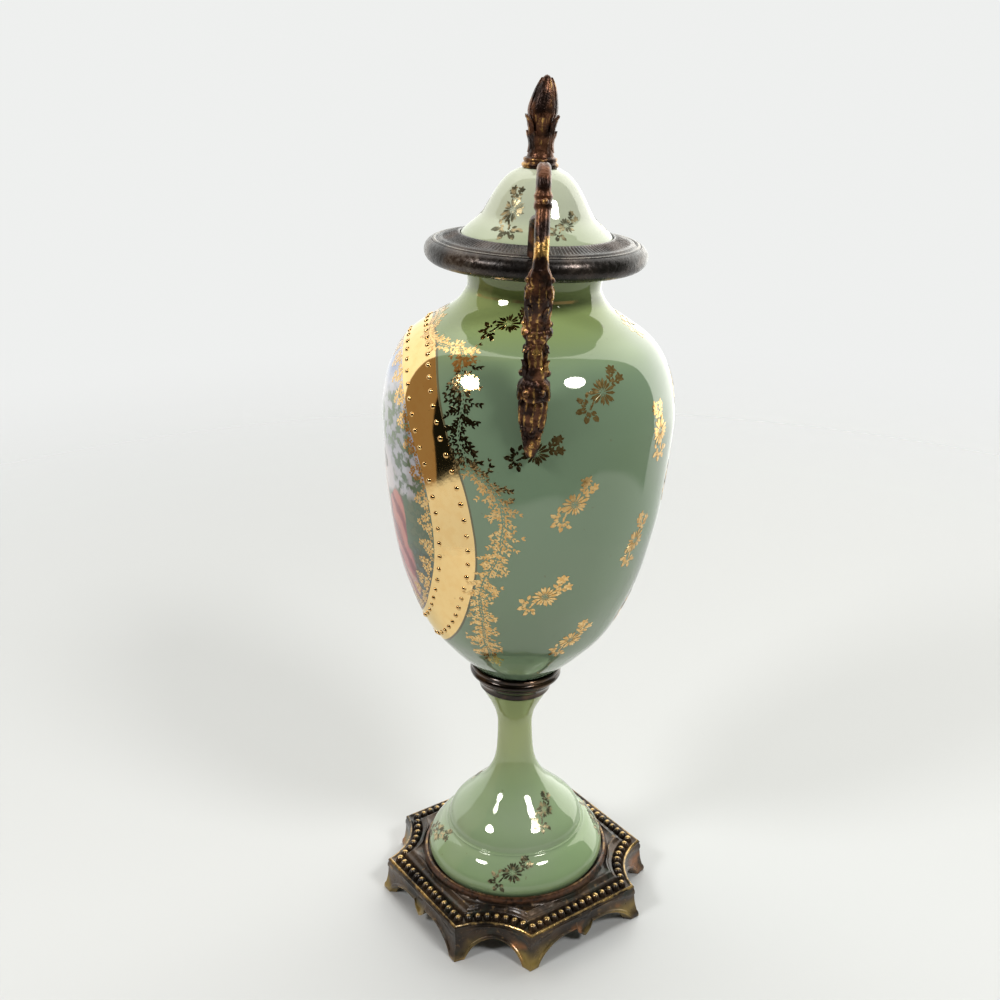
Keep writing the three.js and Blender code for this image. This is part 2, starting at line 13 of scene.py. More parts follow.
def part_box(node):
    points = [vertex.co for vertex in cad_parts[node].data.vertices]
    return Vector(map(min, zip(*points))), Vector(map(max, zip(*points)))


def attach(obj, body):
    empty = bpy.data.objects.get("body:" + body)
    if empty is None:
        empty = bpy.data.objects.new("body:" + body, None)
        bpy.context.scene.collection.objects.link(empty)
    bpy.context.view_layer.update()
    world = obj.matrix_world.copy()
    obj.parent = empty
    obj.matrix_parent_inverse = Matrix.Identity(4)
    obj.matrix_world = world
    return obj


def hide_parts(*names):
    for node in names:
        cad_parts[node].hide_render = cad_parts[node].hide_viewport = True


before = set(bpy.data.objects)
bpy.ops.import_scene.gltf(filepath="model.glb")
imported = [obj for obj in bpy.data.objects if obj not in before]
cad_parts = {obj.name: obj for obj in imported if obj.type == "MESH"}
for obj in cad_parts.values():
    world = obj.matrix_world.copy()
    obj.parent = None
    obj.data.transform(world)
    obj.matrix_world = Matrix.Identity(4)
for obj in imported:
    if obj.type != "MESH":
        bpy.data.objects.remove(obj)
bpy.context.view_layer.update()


# Camera
# The view is from beside the right handle, a little above the lid, and looks down at the urn.
LOOK_FROM = Vector((0.52181, 0.0, 0.41688))
LOOK_DOWN = 0.3702
LOOK_ASIDE = 0.0126
CAMERA_ROLL = -0.0075
LENS = 43.382

flat = math.cos(LOOK_DOWN)
forward = -Vector((flat * math.cos(LOOK_ASIDE), flat * math.sin(LOOK_ASIDE), math.sin(LOOK_DOWN)))
level = forward.cross(Vector((0, 0, 1))).normalized()
upright = level.cross(forward)
side_axis = level * math.cos(CAMERA_ROLL) + upright * math.sin(CAMERA_ROLL)
up_axis = upright * math.cos(CAMERA_ROLL) - level * math.sin(CAMERA_ROLL)
camera = bpy.data.objects.new("camera", bpy.data.cameras.new("camera"))
camera.data.lens = LENS
camera.data.sensor_width = 36
camera.data.clip_start = 0.01
axes = Matrix((side_axis, up_axis, -forward)).transposed()
camera.matrix_world = Matrix.Translation(LOOK_FROM) @ axes.to_4x4()
bpy.context.scene.collection.objects.link(camera)
bpy.context.scene.camera = camera


# Studio
# A pale floor in a bright tent. The tent is open to a dim room on the side of the right handle, and two soft
# lamps hang above the opening, which is what the glaze and the gilding mirror.
class Wire:
    """An output of a shader node. Arithmetic on wires and numbers adds Math nodes to the same tree."""

    def __init__(self, tree, socket):
        self.tree = tree
        self.socket = socket

    def node(self, kind, settings=None, inputs=None, output=0):
        """Adds a node of a kind: its settings first, then the values or wires of its sockets."""
        made = self.tree.nodes.new(kind)
        for name, value in (settings or {}).items():
            setattr(made, name, value)
        for key, value in (inputs or {}).items():
            if isinstance(value, Wire):
                self.tree.links.new(value.socket, made.inputs[key])
            else:
                made.inputs[key].default_value = value
        return Wire(self.tree, made.outputs[output])

    def math(self, operation, *values):
        return self.node("ShaderNodeMath", {"operation": operation}, dict(enumerate(values)))

    def __add__(self, other):
        return self.math("ADD", self, other)

    def __sub__(self, other):
        return self.math("SUBTRACT", self, other)

    def __rsub__(self, other):
        return self.math("SUBTRACT", other, self)

    def __mul__(self, other):
        return self.math("MULTIPLY", self, other)

    def __truediv__(self, other):
        return self.math("DIVIDE", self, other)

    def __rtruediv__(self, other):
        return self.math("DIVIDE", other, self)

    def __pow__(self, other):
        return self.math("POWER", self, other)

    def __abs__(self):
        return self.math("ABSOLUTE", self)

    __radd__ = __add__
    __rmul__ = __mul__

    def sin(self):
        return self.math("SINE", self)

    def ramp(self, low, high):
        """0 below low, 1 above high, smooth between. With low above high it falls instead."""
        place = {"From Min": low, "From Max": high, "Value": self}
        return self.node("ShaderNodeMapRange", {"interpolation_type": "SMOOTHSTEP"}, place)

    def mix(self, plain, other):
        """The colour plain where this wire is 0, and other where it is 1."""
        colors = {0: self, 6: plain, 7: other}
        for key in (6, 7):
            if not isinstance(colors[key], Wire):
                colors[key] = (*colors[key], 1)
        return self.node("ShaderNodeMix", {"data_type": "RGBA"}, colors, output=2)

    def noise(self, scale, detail=3, offset=0.0):
        """Soft noise about 0.5 at a place, scale times to the metre."""
        shift = {0: self, 1: (offset, offset, offset)}
        place = self.node("ShaderNodeVectorMath", {"operation": "ADD"}, shift)
        return self.node("ShaderNodeTexNoise", None, {"Vector": place, "Scale": scale, "Detail": detail})

    def part(self, axis):
        return self.node("ShaderNodeSeparateXYZ", None, {0: self}, output="XYZ".index(axis))


world = bpy.data.worlds.new("studio")
world.use_nodes = True
bpy.context.scene.world = world
bpy.context.scene.view_settings.view_transform = "Standard"
sky = Wire(world.node_tree, None)
direction = sky.node("ShaderNodeTexCoord", output="Generated")
azimuth = sky.math("ARCTAN2", direction.part("Y"), direction.part("X")) * (180 / math.pi)
elevation = sky.math("ARCSINE", direction.part("Z")) * (180 / math.pi)
x, y, z = direction.part("X"), direction.part("Y"), direction.part("Z")
front = (x + abs(y) * 0.4).ramp(-0.012, 0.012)
sill = azimuth.ramp(-52, -8) * azimuth.ramp(62, 28) * 5.5 + azimuth.ramp(20, 60) * 3 + 24
opening = front * (elevation + sill).ramp(-0.6, 0.6)
dim = azimuth.ramp(-10, 70).mix((0.008, 0.009, 0.008), (0.16, 0.17, 0.14))
dim = azimuth.ramp(-76, -78).mix(dim, (0.3, 0.21, 0.12))
tent = azimuth.ramp(20, 100).mix((1.3, 1.32, 1.28), (2.6, 2.62, 2.5))
tent = elevation.ramp(32, 55).mix(tent, (2.0, 2.0, 1.95))
tent = elevation.ramp(-5, -30).mix(tent, (0.75, 0.76, 0.75))
surroundings = opening.mix(tent, dim)
seen = sky.node("ShaderNodeLightPath", output="Is Camera Ray").mix(surroundings, (0.86, 0.87, 0.86))
backdrop = world.node_tree.nodes["Background"]
world.node_tree.links.new(seen.socket, backdrop.inputs["Color"])


def cos_sin(degrees):
    return math.cos(math.radians(degrees)), math.sin(math.radians(degrees))


LAMP_DISTANCE = 1.6
LIT_HEIGHT = 0.25


def lamp(name, azimuth_deg, elevation_deg, wide, high, watts):
    """A soft oval lamp well away from the urn, turned towards its belly."""
    data = bpy.data.lights.new(name, "AREA")
    data.shape = "ELLIPSE"
    data.size = wide
    data.size_y = high
    data.energy = watts
    level_x, level_y = cos_sin(azimuth_deg)
    out, up = cos_sin(elevation_deg)
    aim = Vector((level_x * out, level_y * out, up))
    made = bpy.data.objects.new(name, data)
    made.location = Vector((0, 0, LIT_HEIGHT)) + aim * LAMP_DISTANCE
    made.rotation_euler = aim.to_track_quat("Z", "Y").to_euler()
    bpy.context.scene.collection.objects.link(made)


lamp("lamp_left", -55, 38, 0.42, 0.34, 11)
lamp("lamp_right", 46, 43, 0.44, 0.34, 12)

FLOOR_R = 1.2
MIRRORED_FLOOR_R = 0.3
floor_mesh = bpy.data.meshes.new("floor")
floor_turns = [2 * math.pi * i / 96 for i in range(96)]
floor_mesh.from_pydata(
    [(FLOOR_R * math.cos(t), FLOOR_R * math.sin(t), 0) for t in floor_turns], [], [list(range(96))]
)
floor = bpy.data.objects.new("floor", floor_mesh)
bpy.context.scene.collection.objects.link(floor)
floor_paint = bpy.data.materials.new("floor")
floor_paint.use_nodes = True
surface = floor_paint.node_tree.nodes["Principled BSDF"]
surface.inputs["Base Color"].default_value = (0.6, 0.605, 0.6, 1)
surface.inputs["Roughness"].default_value = 0.5
start = Wire(floor_paint.node_tree, None)
place = start.node("ShaderNodeTexCoord", output="Object")
distance = start.node("ShaderNodeVectorMath", {"operation": "LENGTH"}, {0: place}, output="Value")
hidden = distance.ramp(MIRRORED_FLOOR_R, MIRRORED_FLOOR_R + 0.05)
by_camera = start.node("ShaderNodeLightPath", output="Is Camera Ray")
hidden = distance.ramp(MIRRORED_FLOOR_R, FLOOR_R) * by_camera + hidden * (1 - by_camera)
clear = start.node("ShaderNodeBsdfTransparent")
solid = Wire(start.tree, surface.outputs[0])
shown = start.node("ShaderNodeMixShader", None, {0: hidden, 1: solid, 2: clear})
start.tree.links.new(shown.socket, start.tree.nodes["Material Output"].inputs["Surface"])
floor_mesh.materials.append(floor_paint)


# Base
# A cast brass plinth, square with four hollow corners, on eight small bracket feet. Its border of round beads
# lies in a channel, and the porcelain foot drops into the round lip. It was gilt, and has gone dark brown.
BASE_TURN = math.radians(35.3)
BASE_HALF = 60.2
BASE_SIDE_HALF = 34
BASE_TOP_IN = 2.1
BASE_HOLLOW = 5.9
BASE_RIM_Z = 17.1
BASE_WALL = 3.2
BASE_DECK = 3.3
MOULDING_IN = 11.2
MOULDING_SIDE_HALF = 24.2
MOULDING_HOLLOW = 2.8
CHANNEL_IN = 4.9
CHANNEL_Z = 17.6
BEAD_R = 1.95
BEAD_PITCH = 4.25
LIP_INNER_R = 45.15
LIP_WALL = 1.6
LIP_ROOT_R = 47.95
LIP_TOP_Z = 25
LEDGE_Z = 21.6
LEDGE_WIDTH = 11
PAD = 5.2
ARCH_HEIGHT = 10.2
PENDANT_DROP = 6
PENDANT_HALF = 4.8


def lerp(a, b, t):
    return a + (b - a) * t


def smoothstep(value, low, high):
    t = np.clip((value - low) / (high - low), 0, 1)
    return t * t * (3 - 2 * t)


def object_from(name, vertices, faces, material=None, sharp_deg=40, uv=None, worn=None):
    """A piece from points in millimetres. Doubles are merged, and edges stay sharp past an angle."""
    mesh = bpy.data.meshes.new(name)
    mesh.from_pydata((np.asarray(vertices) / 1000).tolist(), [], faces)
    if uv is not None:
        layer = mesh.uv_layers.new(name="wrap")
        layer.data.foreach_set("uv", np.asarray(uv, dtype=np.float32).ravel())
    if worn is not None:
        wear = mesh.attributes.new("worn", "FLOAT", "POINT")
        wear.data.foreach_set("value", np.asarray(worn, dtype=np.float32))
    shape = bmesh.new()
    shape.from_mesh(mesh)
    bmesh.ops.remove_doubles(shape, verts=shape.verts, dist=2e-6)
    bmesh.ops.dissolve_degenerate(shape, edges=shape.edges, dist=1e-6)
    bmesh.ops.recalc_face_normals(shape, faces=shape.faces)
    shape.to_mesh(mesh)
    shape.free()
    mesh.shade_smooth()
    mesh.set_sharp_from_angle(angle=math.radians(sharp_deg))
    made = bpy.data.objects.new(name, mesh)
    bpy.context.scene.collection.objects.link(made)
    if material:
        mesh.materials.append(material)
    return made


def grid_faces(rows, columns, wrap_rows=False, wrap_columns=False):
    """Quads over a grid of points, row by row."""
    faces = []
    for i in range(rows if wrap_rows else rows - 1):
        this, after = i * columns, (i + 1) % rows * columns
        for j in range(columns if wrap_columns else columns - 1):
            beside = (j + 1) % columns
            faces.append((this + j, this + beside, after + beside, after + j))
    return faces


def new_material(name, constants):
    """A material with fixed values on its shader, and the place on the object as a wire."""
    material = bpy.data.materials.new(name)
    material.use_nodes = True
    for socket, value in constants.items():
        material.node_tree.nodes["Principled BSDF"].inputs[socket].default_value = value
    return material, Wire(material.node_tree, None).node("ShaderNodeTexCoord", output="Object")


def feed(material, wires):
    """Joins wires to the sockets of a material's shader."""
    shader = material.node_tree.nodes["Principled BSDF"]
    for socket, wire in wires.items():
        material.node_tree.links.new(wire.socket, shader.inputs[socket])


def bump(start, height, depth_mm):
    """A Bump node's normal for a height between 0 and 1 that stands depth_mm proud."""
    return start.node("ShaderNodeBump", None, {"Height": height, "Distance": depth_mm / 1000})


def plan_point(half, side_half, hollow, station):
    """A point of the base's plan, on a straight side for station 0 to 1 and in a hollow corner for 1 to 2."""
    if station <= 1:
        return np.array([half, lerp(-side_half, side_half, station)])
    middle = (half + side_half) / 2
    chord_half = (half - side_half) / math.sqrt(2)
    radius = (chord_half**2 + hollow**2) / (2 * hollow)
    swing = math.asin(chord_half / radius)
    turn = lerp(-swing, swing, station - 1)
    out = radius - hollow - radius * math.cos(turn)
    aside = radius * math.sin(turn)
    return np.array([middle + (out - aside) / math.sqrt(2), middle + (out + aside) / math.sqrt(2)])


def lower_edge(station):
    """Height of the base's lower edge: arches between the feet, and a drop under each straight side."""
    straight = station <= 1
    length = 2 * BASE_SIDE_HALF if straight else (BASE_HALF - BASE_SIDE_HALF) * math.sqrt(2)
    along = (station if straight else station - 1) * length
    from_foot = min(along, length - along) - PAD
    if from_foot <= 0:
        return 0
    reach = length / 4 if straight else length / 2 - PAD
    arch = ARCH_HEIGHT * math.sin(math.pi / 2 * min(from_foot / reach, 1)) ** 0.6
    if not straight:
        return arch
    drop = max(1 - abs(along - length / 2) / PENDANT_HALF, 0)
    return arch - PENDANT_DROP * math.sqrt(drop)


TOP_HALF = BASE_HALF - BASE_TOP_IN
TOP_SIDE_HALF = BASE_SIDE_HALF - BASE_TOP_IN


def top_plan(inwards, station):
    """The plan of the base's top at a distance inwards from its edge."""
    share = inwards / MOULDING_IN
    side_half = lerp(TOP_SIDE_HALF, MOULDING_SIDE_HALF, share)
    return plan_point(TOP_HALF - inwards, side_half, lerp(BASE_HOLLOW, MOULDING_HOLLOW, share), station)


def on_base(x, y, z, quarter):
    """A place of the first side and corner, turned to one of the four quarters."""
    turn = BASE_TURN + math.pi / 2 * quarter
    return x * math.cos(turn) - y * math.sin(turn), x * math.sin(turn) + y * math.cos(turn), z


# The face from its lower edge up: share of its height, how far in it lies, and how worn it is
face_rows = [
    (0, 0.5, 0.3), (0.03, 0.1, 0.7), (0.1, 0, 0.45), (0.17, 0.15, 0.3), (0.22, 0.75, 0), (0.4, 1.05, 0),
    (0.6, 1.0, 0), (0.76, 0.7, 0), (0.81, 0.15, 0.4), (0.9, 0, 0.5), (0.95, 0.25, 0), (1, 0.3, 0.2),
]
# Inwards from the edge, height and wear: the fillet, the channel, the step, the moulding
top_rows = [
    (0.05, 17.5, 0.5), (0.4, 18.2, 0.75), (1, 18.55, 0.85), (1.6, 18.4, 0.4), (2.1, 17.8, 0),
    (2.6, 17.65, 0), (CHANNEL_IN, 17.5, 0), (6.9, 17.7, 0), (7.3, 18.4, 0.1), (7.6, 19.4, 0.45),
    (8.1, 19.9, 0.4), (8.8, 20.1, 0.1), (9.6, 20.6, 0.1), (10.3, 21.5, 0.3), (10.8, 22, 0.45),
    (MOULDING_IN, 22.1, 0.5),
]
side_stations = np.unique(np.concatenate([np.linspace(0, 1, 57), 0.5 + np.linspace(-0.075, 0.075, 13)]))
stations = np.concatenate([side_stations, np.linspace(1, 2, 25)[1:-1]])
base_points = []
base_worn = []
for quarter in range(4):
    for station in stations:
        edge_z = lower_edge(station)
        outward = plan_point(BASE_HALF, BASE_SIDE_HALF, BASE_HOLLOW, station)
        away = outward / np.hypot(*outward)
        section = []
        for share, inset, worn in face_rows:
            height = lerp(edge_z, BASE_RIM_Z, share)
            lean_in = BASE_TOP_IN * height / BASE_RIM_Z
            spot = plan_point(BASE_HALF - lean_in, BASE_SIDE_HALF - lean_in, BASE_HOLLOW, station)
            section.append((*(spot - away * inset), height, worn))
        for inwards, height, worn in top_rows:
            spot = top_plan(inwards, station)
            least = LIP_ROOT_R + 0.4 + (MOULDING_IN - inwards) * 0.35
            section.append((*(away * max(np.hypot(*spot), least) if inwards > 6 else spot), height, worn))
        ridge = section[-1]
        valley = lerp(np.hypot(ridge[0], ridge[1]), LIP_ROOT_R, 0.75)
        for radius, height, worn in (
            (lerp(np.hypot(ridge[0], ridge[1]), LIP_ROOT_R, 0.3), 21.6, 0.3), (valley, 21.2, 0),
            (LIP_ROOT_R, 21.5, 0), (LIP_ROOT_R - 0.7, 22.6, 0.2), (LIP_INNER_R + 1.75, 23.7, 0.3),
            (LIP_INNER_R + LIP_WALL, LIP_TOP_Z - 0.6, 0.5), (LIP_INNER_R + 1.3, LIP_TOP_Z - 0.1, 0.6),
            (LIP_INNER_R + 0.8, LIP_TOP_Z, 0.6), (LIP_INNER_R + 0.3, LIP_TOP_Z - 0.1, 0.5),
            (LIP_INNER_R, LIP_TOP_Z - 0.5, 0.2), (LIP_INNER_R, LEDGE_Z, 0),
            (LIP_INNER_R - LEDGE_WIDTH, LEDGE_Z, 0), (LIP_INNER_R - LEDGE_WIDTH, LEDGE_Z - BASE_DECK, 0),
        ):
            section.append((*(away * radius), height, worn))
        section.append((*top_plan(CHANNEL_IN, station), 17.5 - BASE_DECK, 0))
        inner = plan_point(BASE_HALF - BASE_WALL, BASE_SIDE_HALF - BASE_WALL, BASE_HOLLOW, station)
        section.append((*inner, edge_z, 0))
        for x, y, z, worn in section:
            base_points.append(on_base(x, y, z, quarter))
            base_worn.append(worn)

cast_brass, place = new_material("cast_brass", {"Coat Weight": 0.3, "Coat Roughness": 0.12})
worn = place.node("ShaderNodeAttribute", {"attribute_name": "worn"}, output="Fac")
cloudy = place.noise(60, 5)
speckle = place.noise(420, 4, 3.1)
height = place.part("Z") * 1000
gold_share = (worn * 1.25 + cloudy * 1.5 - 1.3 + (speckle - 0.5) * 0.9).ramp(0.1, 0.75)
brown = cloudy.ramp(0.35, 0.68).mix((0.014, 0.009, 0.006), (0.07, 0.04, 0.02))
brown = (place.noise(110, 3, 15.1).ramp(0.55, 0.68) * 0.7).mix(brown, (0.02, 0.026, 0.018))
brown = (speckle.ramp(0.6, 0.72) * 0.6).mix(brown, (0.2, 0.12, 0.05))
olive = (height.ramp(13, 5) * place.noise(38, 3, 7.7).ramp(0.42, 0.6)).mix(brown, (0.3, 0.205, 0.05))
orange = place.noise(55, 3, 12.4).ramp(0.58, 0.68) * height.ramp(14, 9)
rusty = (orange * 0.8).mix(olive, (0.33, 0.13, 0.04))
lip_share = height.ramp(21.8, 23.2) * 0.75
rusty = (lip_share * speckle.ramp(0.3, 0.6)).mix(rusty, (0.16, 0.065, 0.03))
feed(
    cast_brass,
    {
        "Base Color": gold_share.mix(rusty, (0.55, 0.36, 0.13)),
        "Metallic": 0.55 + gold_share * 0.45,
        "Roughness": 0.34 - gold_share * 0.12 + (speckle - 0.5) * 0.4,
        "Normal": bump(place, speckle * 0.6 + place.noise(150, 3, 8.8) * 1.2, 0.3),
    },
)
columns = len(base_points) // (4 * len(stations))
base_faces = grid_faces(4 * len(stations), columns, True, True)
base = object_from("base_cast", base_points, base_faces, cast_brass, 38, worn=base_worn)
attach(base, "root")
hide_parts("base")


def scatter_tree():
    """A tree that sets a shape on every point, turned and sized by the point's own turn and size."""
    tree = bpy.data.node_groups.new("set_on_points", "GeometryNodeTree")
    for name, kind in (
        ("Points", "NodeSocketGeometry"), ("Shape", "NodeSocketObject"), ("Size", "NodeSocketFloat"),
        ("Size spread", "NodeSocketFloat"), ("Turn spread", "NodeSocketFloat"), ("Seed", "NodeSocketInt"),
        ("Material", "NodeSocketMaterial"),
    ):
        tree.interface.new_socket(name, in_out="INPUT", socket_type=kind)
    tree.interface.new_socket("Pieces", in_out="OUTPUT", socket_type="NodeSocketGeometry")
    begin = Wire(tree, None)
    group = tree.nodes.new("NodeGroupInput")
    given = {socket.name: Wire(tree, socket) for socket in group.outputs if socket.name}
    size = begin.node("GeometryNodeInputNamedAttribute", {"data_type": "FLOAT"}, {"Name": "size"})
    turn = begin.node("GeometryNodeInputNamedAttribute", {"data_type": "FLOAT_VECTOR"}, {"Name": "turn"})
    span = {"Min": -1.0, "Max": 1.0}
    chance, other = (
        begin.node("FunctionNodeRandomValue", {"data_type": "FLOAT"}, {**span, "Seed": seed}, 1)
        for seed in (given["Seed"], given["Seed"] + 7)
    )
    swing = begin.node("ShaderNodeCombineXYZ", None, {"Z": other * given["Turn spread"]})
    turned = begin.node("ShaderNodeVectorMath", {"operation": "ADD"}, {0: turn, 1: swing})
    shape = begin.node("GeometryNodeObjectInfo", None, {"Object": given["Shape"]}, "Geometry")
    scale = size * given["Size"] * (chance * given["Size spread"] + 1)
    placed = begin.node(
        "GeometryNodeInstanceOnPoints",
        None,
        {"Points": given["Points"], "Instance": shape, "Rotation": turned, "Scale": scale},
    )
    real = begin.node("GeometryNodeRealizeInstances", None, {"Geometry": placed})
    done = begin.node("GeometryNodeSetMaterial", None, {"Geometry": real, "Material": given["Material"]})
    output = tree.nodes.new("NodeGroupOutput")
    tree.links.new(done.socket, output.inputs["Pieces"])
    return tree


set_on_points = scatter_tree()


def scatter(name, points, shape, material, turns=None, sizes=None, size_spread=0.0, turn_spread=0.0, seed=1):
    """A shape set on points in millimetres, as one plain mesh object. Turns are radians about X, Y and Z."""
    points = np.asarray(points, dtype=float)
    carrier_mesh = bpy.data.meshes.new(name)
    carrier_mesh.from_pydata((points / 1000).tolist(), [], [])
    turns = np.zeros_like(points) if turns is None else np.asarray(turns, dtype=float)
    sizes = np.ones(len(points)) if sizes is None else np.asarray(sizes, dtype=float)
    carrier_mesh.attributes.new("turn", "FLOAT_VECTOR", "POINT").data.foreach_set("vector", turns.ravel())
    carrier_mesh.attributes.new("size", "FLOAT", "POINT").data.foreach_set("value", sizes)
    carrier = bpy.data.objects.new(name, carrier_mesh)
    bpy.context.scene.collection.objects.link(carrier)
    modifier = carrier.modifiers.new("set_on_points", "NODES")
    modifier.node_group = set_on_points
    values = {
        "Shape": shape, "Size": 1.0, "Size spread": size_spread, "Turn spread": turn_spread, "Seed": seed,
        "Material": material,
    }
    for item in set_on_points.interface.items_tree:
        if item.name in values:
            modifier[item.identifier] = values[item.name]
    bpy.context.view_layer.update()
    evaluated = carrier.evaluated_get(bpy.context.evaluated_depsgraph_get())
    mesh = bpy.data.meshes.new_from_object(evaluated)
    carrier.modifiers.clear()
    carrier.data = mesh
    bpy.data.meshes.remove(carrier_mesh)
    bpy.data.objects.remove(shape)
    return carrier


def dome(name, radius, height, rings=5, around=14, sunk=0.25):
    """A low round bead that stands height proud of the surface under it."""
    turns = np.arange(around) * 2 * math.pi / around
    points = [(radius * math.cos(turn), radius * math.sin(turn), -sunk) for turn in turns]
    for i in range(rings + 1):
        tilt = math.pi / 2 * i / rings
        flat = radius * math.cos(tilt)
        points += [(flat * math.cos(turn), flat * math.sin(turn), height * math.sin(tilt)) for turn in turns]
    faces = grid_faces(rings + 2, around, wrap_columns=True) + [tuple(reversed(range(around)))]
    return object_from(name, points, faces, None, 60)


bead_spots = []
bead_turns = []
channel_side_half = lerp(TOP_SIDE_HALF, MOULDING_SIDE_HALF, CHANNEL_IN / MOULDING_IN)
channel_hollow = (TOP_HALF - CHANNEL_IN - channel_side_half) * math.sqrt(2)
on_side = int(2 * channel_side_half / BEAD_PITCH) + 1
in_hollow = int(channel_hollow / BEAD_PITCH)
bead_stations = [0.5 + (i - (on_side - 1) / 2) * BEAD_PITCH / (2 * channel_side_half) for i in range(on_side)]
bead_stations += [1 + i / in_hollow for i in range(1, in_hollow)]
for quarter in range(4):
    turn = BASE_TURN + math.pi / 2 * quarter
    for station in bead_stations:
        bead_spots.append(on_base(*top_plan(CHANNEL_IN, station), CHANNEL_Z, quarter))
        run = top_plan(CHANNEL_IN, station + 0.01) - top_plan(CHANNEL_IN, station - 0.01)
        bead_turns.append((0, 0, turn + math.atan2(run[1], run[0]) - math.pi / 2))
bead = dome("bead", BEAD_R, 2.9, sunk=0.6)
bead.data.transform(Matrix.Diagonal((1.22, 1.02, 1, 1)))
heights = np.zeros(len(bead.data.vertices) * 3)
bead.data.vertices.foreach_get("co", heights)
bead_wear = bead.data.attributes.new("worn", "FLOAT", "POINT")
bead_wear.data.foreach_set("value", (0.95 * smoothstep(heights[2::3] * 1000, 1.5, 2.9)).astype(np.float32))
beads = scatter("base_beads", bead_spots, bead, cast_brass, bead_turns, size_spread=0.05, seed=4)
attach(beads, "root")


# Foot
# A trumpet foot of thrown porcelain, hollow, under a pale celadon lustre glaze. It is held to the vase by a
# bolt through the collar, and its flange sits in the lip of the base.
FOOT_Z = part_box("foot")[0].z * 1000
FOOT_R = 44.45
FOOT_WIDEST = 5.9
FOOT_STEP_R = 33.6
FOOT_STEP = 19.2
FOOT_STEM_R = 8.5
FOOT_STEM = 72
FOOT_TOP_R = 16.6
FOOT_HEIGHT = 95.1
FOOT_WALL = 3.3
LEAN = math.radians(2.6)
ROUND = 192


def smooth_line(stations, count):
    """A smooth line through a few stations, as count + 1 points."""
    knots = np.asarray(stations, dtype=float)
    line = []
    for i in range(count + 1):
        place = (len(knots) - 1) * i / count
        k = min(int(place), len(knots) - 2)
        t = place - k
        before, a, b, after = knots[max(k - 1, 0)], knots[k], knots[k + 1], knots[min(k + 2, len(knots) - 1)]
        v0, v1 = (b - before) / 2, (after - a) / 2
        line.append((2 * a - 2 * b + v0 + v1) * t**3 + (-3 * a + 3 * b - 2 * v0 - v1) * t**2 + v0 * t + a)
    return np.array(line)


def inset_line(profile, wall):
    """The line a wall's thickness to the left of a profile that runs up the outside."""
    along = np.gradient(profile, axis=0)
    along /= np.linalg.norm(along, axis=1, keepdims=True)
    return profile + wall * np.column_stack([-along[:, 1], along[:, 0]])


def run_lengths(line):
    """The length along a line from its start to each of its points."""
    return np.concatenate([[0], np.cumsum(np.linalg.norm(np.diff(line, axis=0), axis=1))])


def turned(name, profile, material, place_all, segments=ROUND, sharp_deg=40, shape=None, worn=None):
    """A piece turned about its axis from a profile of radius and height, which closes or ends on the axis."""
    profile = np.asarray(profile, dtype=float)
    turns = np.linspace(-math.pi, math.pi, segments + 1)
    around = np.tile(turns, len(profile))
    radius = np.repeat(profile[:, 0], segments + 1)
    height = np.repeat(profile[:, 1], segments + 1)
    if shape:
        radius, height = shape(around, radius, height)
    points = np.column_stack([radius * np.sin(around), -radius * np.cos(around), height])
    faces = grid_faces(len(profile), segments + 1)
    lengths = np.repeat(run_lengths(profile), segments + 1)
    uv = np.column_stack([radius * around, lengths])[np.array(faces).ravel()] / 100
    wear = None if worn is None else np.repeat(worn, segments + 1)
    return object_from(name, place_all(points), faces, material, sharp_deg, uv, wear)


def on_foot(points):
    return points + np.array([0, 0, FOOT_Z])


bell = FOOT_STEM - FOOT_STEP
spread = FOOT_STEP_R - FOOT_STEM_R
flare = FOOT_HEIGHT - FOOT_STEM
flange = smooth_line(
    [
        (FOOT_R - 1.6, 0), (FOOT_R - 0.3, FOOT_WIDEST * 0.45), (FOOT_R, FOOT_WIDEST),
        (lerp(FOOT_STEP_R, FOOT_R, 0.88), lerp(FOOT_WIDEST, FOOT_STEP, 0.3)),
        (lerp(FOOT_STEP_R, FOOT_R, 0.45), lerp(FOOT_WIDEST, FOOT_STEP, 0.74)),
        (FOOT_STEP_R + 1.7, FOOT_STEP - 1.2), (FOOT_STEP_R + 1.1, FOOT_STEP - 0.2),
        (FOOT_STEP_R + 0.1, FOOT_STEP + 0.3), (FOOT_STEP_R - 0.3, FOOT_STEP + bell * 0.07),
        (FOOT_STEM_R + spread * 0.87, FOOT_STEP + bell * 0.16),
        (FOOT_STEM_R + spread * 0.54, FOOT_STEP + bell * 0.31),
        (FOOT_STEM_R + spread * 0.25, FOOT_STEP + bell * 0.46),
        (FOOT_STEM_R + spread * 0.055, FOOT_STEP + bell * 0.67), (FOOT_STEM_R, FOOT_STEM),
        (lerp(FOOT_STEM_R, FOOT_TOP_R, 0.1), FOOT_STEM + flare * 0.35),
        (lerp(FOOT_STEM_R, FOOT_TOP_R, 0.4), FOOT_STEM + flare * 0.62), (FOOT_TOP_R, FOOT_HEIGHT),
    ],
    96,
)
foot_inside = inset_line(flange, FOOT_WALL)[::3]
foot_inside[0, 1] = 0
foot_inside[-1] = (FOOT_TOP_R - FOOT_WALL, FOOT_HEIGHT)


def skewed(around, radius, height):
    """The upper end of the foot is askew, which is where the vase gets its lean."""
    y = -radius * np.cos(around)
    return radius, height - y * math.tan(LEAN) * smoothstep(height, FOOT_STEM, FOOT_HEIGHT)


